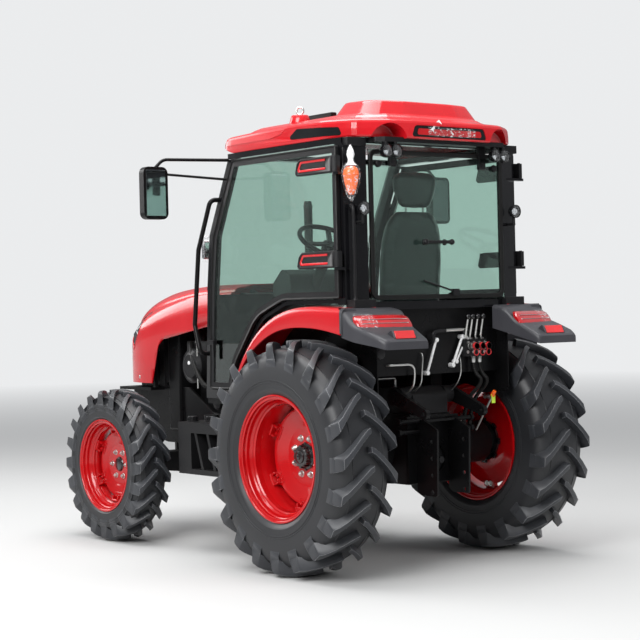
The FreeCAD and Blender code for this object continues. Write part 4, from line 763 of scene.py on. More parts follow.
# Hatch seal and lifting eye: a black strip behind the hatch and a round cap with its bright ring.
# They lie on the roof ahead of the raised centre.
strip = block("hatch_seal", at(0.150, 0.262, roof_low + 0.146), at(0.370, 0.300, roof_low + 0.190), 0.006)
fit(strip, frame_black, "chassis", "black_plastic")
cap = rod("roof_cap", at(0.300, 0.398, roof_low + 0.136), at(0.300, 0.398, roof_low + 0.182), 0.060, 0.046, 40, 0.006)
fit(cap, red_paint, "chassis", "red_paint")
bpy.ops.object.select_all(action="DESELECT")
bpy.ops.mesh.primitive_torus_add(location=at(0.300, 0.398, roof_low + 0.206), rotation=(pi / 2, 0, radians(40)), major_radius=0.019,
                                 minor_radius=0.0055, major_segments=32, minor_segments=12)
bpy.ops.object.transform_apply(location=True, rotation=True)
ring = bpy.context.object
ring.name = "roof_eye"
bpy.ops.object.shade_smooth()
fit(ring, zinc, "chassis", "zinc_steel")

# Fenders: pressed skins over the rear wheels with a rolled outer edge, painted like the roof.
# Rows of points run over the tyre; each goes from the inner wall over the rounded edge down the lip.
edge_rows = ((0.5624, 0.904, 0.540, 0.900), (0.548, 0.985, 0.524, 0.975), (0.521, 1.054, 0.495, 1.036), (0.480, 1.120, 0.452, 1.091),
             (0.428, 1.181, 0.404, 1.133), (0.362, 1.242, 0.347, 1.172), (0.286, 1.292, 0.285, 1.206), (0.200, 1.334, 0.215, 1.236),
             (0.102, 1.363, 0.134, 1.259), (0.000, 1.378, 0.034, 1.271), (-0.100, 1.381, -0.080, 1.272), (-0.208, 1.377, -0.190, 1.264),
             (-0.300, 1.3715, -0.285, 1.250), (-0.376, 1.3665, -0.376, 1.232))
tops = spaced([Vector(row[:2]) for row in edge_rows], 40)
lips = spaced([Vector(row[2:]) for row in edge_rows], 40)


def eased(points, turns):
    """Averages the inner points of a line with their neighbours."""
    for _ in range(turns):
        points = [points[0]] + [(a + b * 2 + c) / 4 for a, b, c in zip(points, points[1:], points[2:])] + [points[-1]]
    return points


rows = []
for top, lip in zip(eased(tops, 4), eased(lips, 4)):
    down = lip - top
    turn = min(0.022, down.length * 0.45) / down.length
    row = []
    for y, share in ((0.4613, -0.02), (0.50, 0.0), (0.58, 0.0), (0.66, 0.01), (0.678, 0.10 * turn), (0.6905, 0.36 * turn), (0.6975, 0.78 * turn), (0.700, 1.3 * turn),
                     (0.700, 1.3 * turn + 0.33 * (1 - 1.3 * turn)), (0.700, 1.3 * turn + 0.7 * (1 - 1.3 * turn)), (0.6995, 0.975), (0.697, 1.0), (0.686, 1.0)):
        place = top + down * share
        row.append(at(place.x, y, place.y))
    rows.append(row)
left = skin(laid("fender_left", rows), 0.0045)
right = again(left, across_y, "fender_right")
fit(left, red_paint, "chassis", "red_paint", "fenders")
fit(right, red_paint, "chassis", "red_paint")

# Fender tails: dark slate mouldings behind the fenders, a sloped box with a low shelf.
# Laid from stations (x, top, inner edge, outer edge) and given a wall.
slate = finish("slate_plastic", (0.036, 0.036, 0.042), 0.36, specular=0.35, dust=0.14, unevenness=0.08, grain_size=700, grain_depth=0.10,
               dust_colour=(0.20, 0.20, 0.20))
stations = ((-0.3763, 1.3660, 0.3475, 0.700), (-0.400, 1.3620, 0.3490, 0.700), (-0.438, 1.3548, 0.3510, 0.700), (-0.456, 1.3490, 0.3530, 0.700),
            (-0.470, 1.3395, 0.3555, 0.700), (-0.498, 1.3140, 0.3590, 0.6995), (-0.520, 1.2940, 0.3620, 0.698), (-0.532, 1.2850, 0.3640, 0.697),
            (-0.548, 1.2760, 0.3670, 0.6955), (-0.590, 1.2535, 0.3720, 0.691), (-0.640, 1.2270, 0.3770, 0.680), (-0.674, 1.2090, 0.3810, 0.668),
            (-0.684, 1.2030, 0.3850, 0.662), (-0.6895, 1.1960, 0.3900, 0.655), (-0.6900, 1.1880, 0.3920, 0.652))
rows = []
for x, top, inner, outer in stations:
    low = 1.158 + (x + 0.690) * 0.2675
    bend = min(0.020, (top - low) * 0.4)
    half = ((0.0, low), (0.0, top - bend * 1.2), (0.0015, top - bend * 0.6), (0.006, top - bend * 0.2), (0.013, top - 0.0005), (0.024, top))
    row = [(inner + y, z) for y, z in half] + [(inner + (outer - inner) * k / 4, top) for k in (1, 2, 3)]
    row += [(outer - y * 1.3, z) for y, z in reversed(half)]
    skew = 0.060 * max(0.0, min(1.0, (-0.400 - x) / 0.056, (x + 0.62) / 0.06))
    rows.append([at(x + skew * (y - 0.366) / 0.308, y, z) for y, z in row])
rows.append([at(-0.690, place.y, 1.158) for place in rows[-1]])
left = skin(laid("tail_left", rows), 0.004)
soften(left, 0.0012, 1, 40)
bpy.ops.object.shade_smooth_by_angle(angle=radians(36))
right = again(left, across_y, "tail_right")
fit(left, slate, "chassis", "grey_plastic", "fender_tails")
fit(right, slate, "chassis", "grey_plastic")
for side in (1, -1):
    seam = prism("tail_seam_" + ("left" if side > 0 else "right"), "xz", side * 0.470, side * 0.7005,
                 [(-0.3785, 1.3672), (-0.3735, 1.3672), (-0.3735, 1.3600), (-0.3785, 1.3600)])
    fit(seam, frame_black, "chassis", "black_plastic")

# Hood: one pressed red shell over the engine, its nose rounded down, with an open bay each side.
# Rows of its cross section run from the cab to the nose; the bays, lamps and grille are cut after its wall is given.
hood_table = ((1.084, 0.335, 1.440, 0.335, 1.490, 0.300, 1.522), (1.500, 0.335, 1.412, 0.335, 1.476, 0.295, 1.524),
              (1.840, 0.335, 1.350, 0.335, 1.425, 0.285, 1.505), (2.080, 0.332, 1.290, 0.328, 1.372, 0.262, 1.462),
              (2.240, 0.295, 1.235, 0.288, 1.320, 0.225, 1.405), (2.340, 0.235, 1.195, 0.225, 1.270, 0.175, 1.350),
              (2.375, 0.185, 1.180, 0.178, 1.240, 0.135, 1.315))


def curve_through(points, parts):
    """Points along a smooth curve through the given rows of numbers."""
    result = []
    for i in range(len(points) - 1):
        a = points[max(i - 1, 0)]
        b, c = points[i], points[i + 1]
        d = points[min(i + 2, len(points) - 1)]
        for k in range(parts):
            t = k / parts
            result.append([(2 * q + (r - p) * t + (2 * p - 5 * q + 4 * r - s) * t * t + (3 * q - p - 3 * r + s) * t ** 3) / 2
                           for p, q, r, s in zip(a, b, c, d)])
    return result + [list(points[-1])]


rows = []
for x, wide, crease, crease_half, shoulder, shoulder_half, top in curve_through(hood_table, 6):
    rise = top - shoulder
    half = [(wide, 0.930), (wide, 1.02), (wide, 1.10), (crease_half, crease), (shoulder_half + 0.008, shoulder - 0.014),
            (shoulder_half - 0.010, shoulder + 0.2 * rise), (shoulder_half * 0.76, top - 0.3 * rise), (shoulder_half * 0.40, top - 0.02 * rise), (0.0, top)]
    line = [Vector(p) for p in curve_through(half, 4)]
    for i, depth in ((22, 0.003), (23, 0.0045), (24, 0.0045), (25, 0.003), (28, 0.002), (29, 0.002)):
        line[i] = line[i] * (1 - depth / line[i].length)
    rows.append([at(x, p.x, p.y) for p in line] + [at(x, -p.x, p.y) for p in reversed(line[:-1])])
hood = skin(laid("hood_shell", rows), 0.005)
bay = prism("bay", "xz", -0.42, 0.42, rounded([(1.0, 0.90), (1.0, 1.262), (1.084, 1.272), (1.350, 1.275, 0.06), (1.824, 1.201, 0.03),
                                              (1.885, 1.161, 0.06), (1.957, 0.925)]))
lamp_line = [(2.035, 1.375), (2.295, 1.290), (2.295, 1.215), (2.210, 1.152), (2.115, 1.262)]
lamp_cuts = [prism("lamp", "xz", side * 0.15, side * 0.36, lamp_line) for side in (1, -1)]
cut(hood, bay, *lamp_cuts)
nose = prism("hood_nose", "yz", 2.368, 2.375, rounded([(-0.185, 0.930), (-0.178, 1.240, 0.05), (-0.135, 1.312, 0.08), (0.135, 1.312, 0.08),
                                                        (0.178, 1.240, 0.05), (0.185, 0.930)]))
grille_cut = prism("grille_cut", "yz", 2.33, 2.42, rounded([(-0.140, 0.960, 0.015), (-0.150, 1.150, 0.020), (0.150, 1.150, 0.020),
                                                            (0.140, 0.960, 0.015)]))
cut(nose, grille_cut)
hood = join([hood, nose], "hood_shell")
fit(hood, red_paint, "hood", "red_paint", "hood")
lens_dark = finish("lamp_housing", (0.030, 0.033, 0.038), 0.08, coat=0.8, dust=0.03, grain_depth=0.0)
dress("head_lamps", lens_dark)
dress("grille", smoked)

# Cab glazing: tempered sheets with a green tint and a black fired border, clean and glossy.
# One glass serves the doors, the windscreen and the rear window.
glass = bpy.data.materials.new("green_glass")
glass.use_nodes = True
sheet = glass.node_tree.nodes["Principled BSDF"]
for name, value in (("Base Color", (0.60, 0.75, 0.69, 1)), ("Roughness", 0.0), ("Metallic", 0.0), ("IOR", 1.5), ("Transmission Weight", 1.0)):
    sheet.inputs[name].default_value = value
smear = glass.node_tree.nodes.new("ShaderNodeTexNoise")
smear.inputs["Scale"].default_value = 3.0
smear_place = glass.node_tree.nodes.new("ShaderNodeTexCoord")
ripple = glass.node_tree.nodes.new("ShaderNodeBump")
ripple.inputs["Strength"].default_value = 0.04
ripple.inputs["Distance"].default_value = 0.01
glass.node_tree.links.new(smear_place.outputs["Object"], smear.inputs["Vector"])
glass.node_tree.links.new(smear.outputs["Fac"], ripple.inputs["Height"])
glass.node_tree.links.new(ripple.outputs["Normal"], sheet.inputs["Normal"])
for node in ("door_glass_left", "door_glass_right", "windscreen"):
    dress(node, glass)
gloss_black = finish("gloss_black", (0.004, 0.004, 0.005), 0.10, coat=0.5, dust=0.02, grain_depth=0.01, specular=0.3)
rubber = finish("hose_rubber", (0.007, 0.007, 0.007), 0.42, dust=0.04, unevenness=0.1, grain_size=800, grain_depth=0.12, specular=0.2)
plastic = finish("black_plastic", (0.008, 0.008, 0.009), 0.32, dust=0.04, unevenness=0.06, grain_size=1100, grain_depth=0.10, specular=0.22)
dress("cab_frame", gloss_black)
dress("rear_window_fittings", plastic)
dress("roof_overhang", plastic)
door_line = [(0.634, 2.190), (0.832, 1.780), (0.866, 1.496), (0.899, 0.935, 0.02), (0.692, 0.935, 0.025), (0.6396, 1.0905, 0.12),
             (0.4396, 1.3309, 0.25), (0.200, 1.417, 0.25), (-0.284, 1.417, 0.012), (-0.284, 2.190, 0.012)]
dress("door_frame_left", plastic)
dress("door_frame_right", plastic)


def frame_ring(name, plane, low, high, outline, width):
    """A flat frame of even width inside an outline."""
    ring = prism(name, plane, low, high, outline)
    count = len(outline)
    inner = []
    for i, here in enumerate(outline):
        back = (here - outline[i - 1]).normalized()
        ahead = (outline[(i + 1) % count] - here).normalized()
        run = (back + ahead).normalized()
        inner.append(here + Vector((-run.y, run.x)) * width / max(0.3, cos(back.angle(ahead, 0) / 2)))
    middle = sum(outline, Vector((0, 0))) / count
    if sum((p - middle).length for p in inner) > sum((p - middle).length for p in outline):
        inner = [o * 2 - p for o, p in zip(outline, inner)]
    return cut(ring, prism("opening", plane, low - (0.1 if low < high else -0.1), high + (0.1 if low < high else -0.1), inner))


for side, word in ((1, "left"), (-1, "right")):
    line = rounded([(*corner, 0.02)[:3] for corner in door_line])
    seal = frame_ring("door_seal_" + word, "xz", side * 0.6205, side * 0.6235, line, 0.010)
    fit(seal, rubber, "door_" + word, "black_plastic")

# Rear window: the sheet stays and gets a thick rubber seal, two hinge covers and two ball catches.
# The covers are moulded caps over the top hinges.
dress("rear_window", glass)
opening = rounded([(-0.4635, 1.4045, 0.045), (-0.4635, 2.1715, 0.045), (0.4635, 2.1715, 0.045), (0.4635, 1.4045, 0.045)])
seal = frame_ring("rear_seal", "yz", -0.3405, -0.3560, opening, 0.024)
soften(seal, 0.003, 2, 50)
fit(seal, rubber, "chassis", "black_plastic")
for number, y in ((1, 0.311), (2, -0.311)):
    cover = prism("hinge_cap_%d" % number, "xz", y - 0.0235, y + 0.0235, rounded([
        (-0.3435, 2.2042), (-0.3435, 2.094), (-0.352, 2.086, 0.006), (-0.364, 2.092, 0.008), (-0.3665, 2.150, 0.02), (-0.3665, 2.2042, 0.004)]), 0.003)
    knob = rod("hinge_button", at(-0.366, y, 2.112), at(-0.3675, y, 2.112), 0.012, 0.010)
    fit(join([cover, knob], cover.name), plastic, "chassis", "black_plastic")
for number, y in ((1, 0.405), (2, -0.405)):
    stud = rod("window_stud_%d" % number, at(-0.3484, y, 2.098), at(-0.3640, y, 2.098), 0.020, 0.016, 28, 0.003)
    fit(stud, plastic, "chassis", "black_plastic")
hole_caps = [rod("handle_foot", at(-0.3484, y, 1.700), at(-0.3570, y, 1.700), 0.017, 0.014, 24, 0.002) for y in (-0.040, 0.100)]
ends = []
for y in (-0.060, 0.120):
    bpy.ops.object.select_all(action="DESELECT")
    bpy.ops.mesh.primitive_uv_sphere_add(location=at(-0.3853, y, 1.700), radius=0.0155, segments=24, ring_count=14)
    bpy.ops.object.transform_apply(location=True)
    bpy.ops.object.shade_smooth()
    ends.append(bpy.context.object)
fit(join(ends + hole_caps, "handle_ends"), plastic, "chassis", "black_plastic")

# Door hinge covers: dark moulded caps over the leaves, each with a red line bent round it like a hook.
# They are clipped to the door and swing with it.
trim_red = finish("trim_red", (0.52, 0.006, 0.010), 0.25, coat=0.4, dust=0.05)
for side, word in ((1, "left"), (-1, "right")):
    for number, z in ((1, 1.575), (2, 2.055)):
        low, high = z - 0.003, z + 0.083
        outline = rounded([(-0.288, low), (-0.288, high), (-0.020, high, 0.016), (0.005, high - 0.020, 0.010), (0.022, low + 0.014, 0.014),
                           (0.008, low, 0.010)])
        cover = prism("hinge_cover_%s_%d" % (word, number), "xz", side * 0.6212, side * 0.6565, outline, 0.006)
        groove = prism("groove", "xz", side * 0.6550, side * 0.66, rounded([
            (-0.240, low + 0.016), (-0.240, high - 0.012), (-0.030, high - 0.012, 0.014), (-0.004, low + 0.030, 0.014), (-0.012, low + 0.016, 0.010)]))
        island = prism("island", "xz", side * 0.60, side * 0.67, rounded([
            (-0.260, low + 0.029), (-0.260, high - 0.025), (-0.040, high - 0.025, 0.006), (-0.022, low + 0.036, 0.006), (-0.030, low + 0.029, 0.004)]))
        trim = cut(prism("hinge_trim_%s_%d" % (word, number), "xz", side * 0.6540, side * 0.6573, rounded([
            (-0.238, low + 0.018), (-0.238, high - 0.014), (-0.031, high - 0.014, 0.012), (-0.006, low + 0.031, 0.012), (-0.014, low + 0.018, 0.008)])), island)
        cover = cut(cover, groove)
        fit(cover, plastic, "door_" + word, "black_plastic")
        fit(trim, trim_red, "door_" + word, "wheel_red")

# Work, post and front lamps: round housings with bright reflectors under clear lenses; some still wear their wrapping.
# The lenses face backwards under the roof, the front pair looks ahead from the pillars.
chrome = finish("lamp_chrome", (0.80, 0.81, 0.82), 0.06, metallic=1.0, dust=0.0, unevenness=0.03, grain_depth=0.0)
lens_clear = bpy.data.materials.new("lens_clear")
lens_clear.use_nodes = True
sheet = lens_clear.node_tree.nodes["Principled BSDF"]
for name, value in (("Base Color", (0.92, 0.93, 0.94, 1)), ("Roughness", 0.03), ("IOR", 1.45), ("Transmission Weight", 1.0)):
    sheet.inputs[name].default_value = value
film = bpy.data.materials.new("wrapping_film")
film.use_nodes = True
nodes = film.node_tree.nodes
links = film.node_tree.links
sheet = nodes["Principled BSDF"]
sheet.inputs["Base Color"].default_value = (0.86, 0.87, 0.88, 1)
sheet.inputs["Roughness"].default_value = 0.16
place = nodes.new("ShaderNodeTexCoord")
crease = nodes.new("ShaderNodeTexNoise")
crease.inputs["Scale"].default_value = 34.0
crease.inputs["Detail"].default_value = 5.0
crease.inputs["Distortion"].default_value = 2.2
cloudy = nodes.new("ShaderNodeMapRange")
for name, value in (("From Min", 0.55), ("From Max", 0.74), ("To Min", 0.04), ("To Max", 0.85)):
    cloudy.inputs[name].default_value = value
folds = nodes.new("ShaderNodeBump")
folds.inputs["Strength"].default_value = 0.8
folds.inputs["Distance"].default_value = 0.004
links.new(place.outputs["Object"], crease.inputs["Vector"])
links.new(crease.outputs["Fac"], cloudy.inputs["Value"])
links.new(cloudy.outputs["Result"], sheet.inputs["Alpha"])
links.new(crease.outputs["Fac"], folds.inputs["Height"])
links.new(folds.outputs["Normal"], sheet.inputs["Normal"])


def round_lamp(name, face, tilt, radius, depth, body):
    """A round lamp that looks along -x from its face: black housing and bowl, a small bright core, clear lens."""
    shell_line = [(0.0, -depth), (radius * 0.55, -depth), (radius * 0.86, -depth * 0.72), (radius * 0.97, -depth * 0.45), (radius, -0.006),
                  (radius * 0.99, -0.001), (radius * 0.93, 0.0), (radius * 0.90, -0.002), (radius * 0.89, -0.010), (radius * 0.60, -depth * 0.42),
                  (0.0, -depth * 0.55)]
    bowl_line = [(radius * 0.50, -depth * 0.30), (radius * 0.42, -depth * 0.40), (radius * 0.22, -depth * 0.46),
                 (radius * 0.20, -depth * 0.30), (radius * 0.10, -depth * 0.26), (0.0, -depth * 0.25)]
    lens_line = [(0.0, 0.004), (radius * 0.45, 0.0025), (radius * 0.80, -0.0005), (radius * 0.895, -0.003), (radius * 0.88, -0.0055),
                 (radius * 0.5, -0.002), (0.0, -0.0005)]
    way = Matrix.Translation(face) @ Matrix.Rotation(radians(tilt), 4, "Y") @ Matrix.Rotation(radians(90), 4, "Z")
    made = []
    for part, line, look in (("housing", shell_line, gloss_black), ("bowl", bowl_line, chrome), ("lens", lens_line, lens_clear)):
        piece = turned(name + "_" + part, line, (0, 0, 0), steps=48, smooth=35)
        piece.data.transform(way)
        fit(piece, look, body, {"housing": "black_plastic", "bowl": "zinc_steel", "lens": "lamp_clear"}[part])
        made.append(piece)
    return made


first = True
for side, word in ((1, "left"), (-1, "right")):
    for number, y in ((1, 0.345), (2, 0.410)):
        made = round_lamp("work_lamp_%s_%d" % (word, number), at(-0.4430, side * y, 2.158), 9, 0.0345, 0.050, "chassis")
        bracket = prism("work_bracket_%s_%d" % (word, number), "xz", side * y - 0.0075, side * y + 0.0075, rounded([
            (-0.430, 2.160), (-0.430, 2.204), (-0.400, 2.2047), (-0.400, 2.160)]), 0.002)
        fit(bracket, plastic, "chassis", "black_plastic")
        if first:
            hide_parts("cab_lamps")
            first = False
    round_lamp("post_lamp_" + word, at(-0.3935, side * 0.529, 1.868), 0, 0.0358, 0.043, "chassis")
    stalk = rod("post_stalk_" + word, at(-0.372, side * 0.529, 1.793), at(-0.372, side * 0.529, 1.850), 0.0075)
    foot = rod("post_foot", at(-0.3295, side * 0.529, 1.800), at(-0.376, side * 0.529, 1.800), 0.0085)
    fit(join([stalk, foot], "post_stalk_" + word), plastic, "chassis", "black_plastic")
    post_x = 0.95043
    box_part = prism("front_lamp_" + word, "xz", side * 0.5425, side * 0.6015, rounded([
        (post_x, 1.645, 0.012), (post_x, 1.795, 0.020), (post_x + 0.026, 1.798, 0.014), (post_x + 0.041, 1.760, 0.02), (post_x + 0.041, 1.665, 0.02),
        (post_x + 0.026, 1.642, 0.014)]), 0.008)
    fit(box_part, film, "chassis", "lamp_clear")
    core = prism("front_lens_" + word, "xz", side * 0.5475, side * 0.5965, rounded([
        (post_x + 0.006, 1.652, 0.012), (post_x + 0.006, 1.785, 0.016), (post_x + 0.034, 1.765, 0.012), (post_x + 0.034, 1.670, 0.012)]), 0.006)
    fit(core, chrome, "chassis", "lamp_clear")
    pin = rod("front_lamp_pin_" + word, at(post_x - 0.0376, side * 0.572, 1.700), at(post_x + 0.010, side * 0.572, 1.700), 0.009)
    fit(pin, plastic, "chassis", "black_plastic")

# Beacon: an orange lamp hung in its clear bag, tied at the neck, on the left rear post.
# The bag is a thin crumpled sleeve round the lamp.
amber = finish("beacon_orange", (0.85, 0.13, 0.012), 0.22, coat=0.4, dust=0.0)
lamp = turned("beacon_lamp", [(0.0, -0.266), (0.012, -0.264), (0.023, -0.246), (0.034, -0.205), (0.0400, -0.168), (0.0425, -0.166), (0.0425, -0.160),
                              (0.0400, -0.158), (0.0400, -0.152), (0.036, -0.136), (0.022, -0.122), (0.0, -0.118)], (0, 0, 0), steps=40, smooth=40)
lamp.data.transform(Matrix.Translation(at(-0.362, 0.590, 2.200)) @ Matrix.Rotation(radians(90), 4, "X"))
fit(lamp, amber, "chassis", "beacon_orange", "beacon")
rows = []
for height, radius in ((-0.299, 0.003), (-0.288, 0.012), (-0.265, 0.025), (-0.238, 0.035), (-0.208, 0.043), (-0.178, 0.048), (-0.152, 0.049),
                       (-0.131, 0.045), (-0.114, 0.033), (-0.102, 0.020), (-0.086, 0.016), (-0.062, 0.020), (-0.040, 0.018), (-0.024, 0.010),
                       (-0.011, 0.005)):
    row = []
    for k in range(28):
        angle = 2 * pi * k / 28
        pull = 1 + 0.06 * sin(5 * angle + height * 60) + 0.03 * sin(9 * angle - height * 110)
        row.append(at(-0.362 + radius * pull * cos(angle), 0.590 + radius * pull * sin(angle), 2.200 + height))
    rows.append(row + row[:1])
bag = laid("beacon_bag", rows, round_rows=True, smooth=50)
fit(bag, film, "chassis", "lamp_clear")
rows = []
for height, radius in ((-0.118, 0.030), (-0.104, 0.017), (-0.088, 0.0135), (-0.062, 0.019), (-0.040, 0.014), (-0.024, 0.007), (-0.015, 0.003)):
    row = [at(-0.362 + radius * (1 + 0.12 * sin(3 * a + height * 90)) * cos(a), 0.590 + radius * (1 + 0.12 * cos(4 * a + height * 70)) * sin(a),
              2.200 + height) for a in (2 * pi * k / 20 for k in range(20))]
    rows.append(row + row[:1])
# A matte white for the beacon's neck tie, the stop lamp's flap and the air cleaner's dot, and for the head lamps'
# painted highlight lines.
pale_white_and_painted_highlight = finish("pale_white_and_painted_highlight", (0.80, 0.80, 0.80), 0.4, dust=0.0, unevenness=0.12, grain_size=90, grain_depth=0.8)
fit(laid("beacon_neck", rows, round_rows=True, smooth=50), pale_white_and_painted_highlight, "chassis", "lamp_clear")

# Seat: a sprung driver's seat in dark grey-green cloth, still under its clear film, with an oval headrest on two posts.
# Cushion and back are blown up as cloth from slightly smaller forms; the film only shows as a sheen.
seat_cloth = finish("seat_vinyl", (0.011, 0.023, 0.021), 0.34, coat=0.5, dust=0.0, unevenness=0.16, grain_size=42, grain_depth=0.7)
post_steel = finish("post_steel", (0.52, 0.53, 0.52), 0.25, metallic=1.0, dust=0.0)


def pillow(name, rings, swell, pressure=4.0):
    """A padded form laid from rings, remeshed and blown up as cloth, each point moving no further than the swell."""
    piece = laid(name, [ring + ring[:1] for ring in rings], round_rows=True)
    bpy.context.view_layer.objects.active = piece
    bpy.ops.object.modifier_add(type="REMESH")
    net = piece.modifiers[-1]
    net.mode = "VOXEL"
    net.voxel_size = 0.007
    bpy.ops.object.modifier_apply(modifier=net.name)
    at_rest = [vertex.co.copy() for vertex in piece.data.vertices]
    bpy.ops.object.modifier_add(type="CLOTH")
    cloth = piece.modifiers[-1]
    cloth.settings.use_pressure = True
    cloth.settings.uniform_pressure_force = pressure
    cloth.settings.effector_weights.gravity = 0
    cloth.settings.quality = 5
    scene = bpy.context.scene
    for step in range(1, 21):
        scene.frame_set(step)
    blown = piece.evaluated_get(bpy.context.evaluated_depsgraph_get()).data
    moved = [vertex.co.copy() for vertex in blown.vertices]
    piece.modifiers.remove(cloth)
    scene.frame_set(1)
    for vertex, start, end in zip(piece.data.vertices, at_rest, moved):
        step = end - start
        vertex.co = start + step * min(1.0, swell / max(step.length, 1e-6))
    bpy.ops.object.modifier_add(type="SMOOTH")
    piece.modifiers[-1].factor = 0.5
    piece.modifiers[-1].iterations = 4
    bpy.ops.object.modifier_apply(modifier=piece.modifiers[-1].name)
    bpy.ops.object.modifier_add(type="SUBSURF")
    piece.modifiers[-1].levels = 1
    piece.modifiers[-1].render_levels = 1
    bpy.ops.object.modifier_apply(modifier=piece.modifiers[-1].name)
    bpy.ops.object.shade_smooth()
    return piece


def pad_rings(stations, count=40, power=3.2):
    """Rounded rings from stations of (centre, half width, half depth); each station gives its two directions."""
    rings = []
    for centre, wide, deep, across, through in stations:
        ring = []
        for k in range(count):
            angle = 2 * pi * k / count
            u = abs(cos(angle)) ** (2 / power) * (1 if cos(angle) > 0 else -1)
            v = abs(sin(angle)) ** (2 / power) * (1 if sin(angle) > 0 else -1)
            ring.append(centre + across * wide * u + through * deep * v)
        rings.append(ring)
    return rings


side_way = Vector((0, 1, 0))
stations = []
for x, wide, low, high in ((-0.048, 0.190, 1.300, 1.385), (-0.030, 0.216, 1.296, 1.396), (0.060, 0.224, 1.295, 1.393), (0.180, 0.226, 1.296, 1.396),
                           (0.290, 0.226, 1.298, 1.408), (0.345, 0.218, 1.302, 1.408), (0.372, 0.190, 1.312, 1.390)):
    stations.append((at(x, 0, (low + high) / 2), wide, (high - low) / 2, side_way, Vector((0, 0, 1))))
cushion = pillow("seat_cushion_pad", pad_rings(stations), 0.012)
fit(cushion, seat_cloth, "chassis", "seat_vinyl", "seat_cushion")
stations = []
for z, middle, wide, deep in ((1.338, -0.108, 0.185, 0.040), (1.380, -0.108, 0.205, 0.044), (1.480, -0.110, 0.214, 0.042), (1.600, -0.119, 0.216, 0.042),
                              (1.720, -0.131, 0.208, 0.041), (1.800, -0.140, 0.184, 0.041), (1.852, -0.147, 0.150, 0.038), (1.878, -0.150, 0.115, 0.028)):
    stations.append((at(middle, 0, z), wide, deep, side_way, Vector((1, 0, 0))))
back = pillow("seat_back_pad", pad_rings(stations), 0.010)
stations = []
for z, wide, deep in ((1.892, 0.080, 0.026), (1.908, 0.106, 0.035), (1.950, 0.128, 0.042), (2.000, 0.143, 0.044), (2.045, 0.144, 0.043), (2.066, 0.126, 0.036),
                      (2.078, 0.100, 0.024)):
    stations.append((at(-0.163, 0, z), wide, deep, side_way, Vector((1, 0, 0))))
rest = pillow("head_rest_pad", pad_rings(stations, power=2.4), 0.006)
fit(back, seat_cloth, "chassis", "seat_vinyl", "seat_back")
fit(rest, seat_cloth, "chassis", "seat_vinyl")
posts = [rod("rest_post", at(-0.160, y, 1.860), at(-0.160, y, 1.950), 0.006, vertices=20) for y in (-0.060, 0.060)]
fit(join(posts, "rest_posts"), post_steel, "chassis", "zinc_steel")
pedestal_look = finish("pedestal_black", (0.012, 0.012, 0.013), 0.5, dust=0.05)
dress("seat_pedestal", pedestal_look)
bellows = []
for k in range(5):
    z = 1.075 + k * 0.042
    grow = 0.5 + k * 0.13
    fold = prism("fold", "xy", z, z + 0.020, rounded([(0.10 - 0.175 - 0.045 * grow, -0.160 - 0.045 * grow, 0.03), (0.10 - 0.175 - 0.045 * grow, 0.160 + 0.045 * grow, 0.03),
                                                      (0.10 + 0.170 + 0.032 * grow, 0.160 + 0.045 * grow, 0.03), (0.10 + 0.170 + 0.032 * grow, -0.160 - 0.045 * grow, 0.03)]), 0.006)
    bellows.append(fold)
fit(join(bellows, "seat_bellows"), pedestal_look, "chassis", "black_plastic")

# Console and steering wheel: grey moulded covers round the column, and the wheel with its thick rim in black plastic.
console_grey = finish("console_grey", (0.085, 0.088, 0.090), 0.45, dust=0.02, grain_size=900, grain_depth=0.15)
dress("console", console_grey)
dress("steering_wheel", plastic)

# Tail lamps: red lenses on the mouldings, parted into three chambers by two plated lines, and a red reflector below on
# its pad. A torn clear film still lies over the lens.
lamp_red = finish("lamp_red", (0.42, 0.003, 0.006), 0.07, coat=1.0, dust=0.02, unevenness=0.25, grain_size=260, grain_depth=0.2)
reflector_red = finish("reflector_red", (0.60, 0.010, 0.012), 0.12, coat=1.0, dust=0.0, unevenness=0.1, grain_size=420, grain_depth=0.5)
dress("tail_lamps", lamp_red)
dress("stop_lamp", lamp_red)


def tube_along(name, path, radii, around=18, smooth=40):
    """A tube round a path in even steps, its radius read from a list that repeats."""
    rows = []
    across = Vector((0, 0, 1))
    for i, place in enumerate(path):
        run = (path[min(i + 1, len(path) - 1)] - path[max(i - 1, 0)]).normalized()
        across = (across - run * across.dot(run)).normalized() if abs(across.dot(run)) < 0.98 else run.orthogonal()
        beside = run.cross(across)
        radius = radii[i % len(radii)]
        row = [place + (across * cos(2 * pi * k / around) + beside * sin(2 * pi * k / around)) * radius for k in range(around)]
        rows.append(row + row[:1])
    return laid(name, rows, round_rows=True, smooth=smooth)


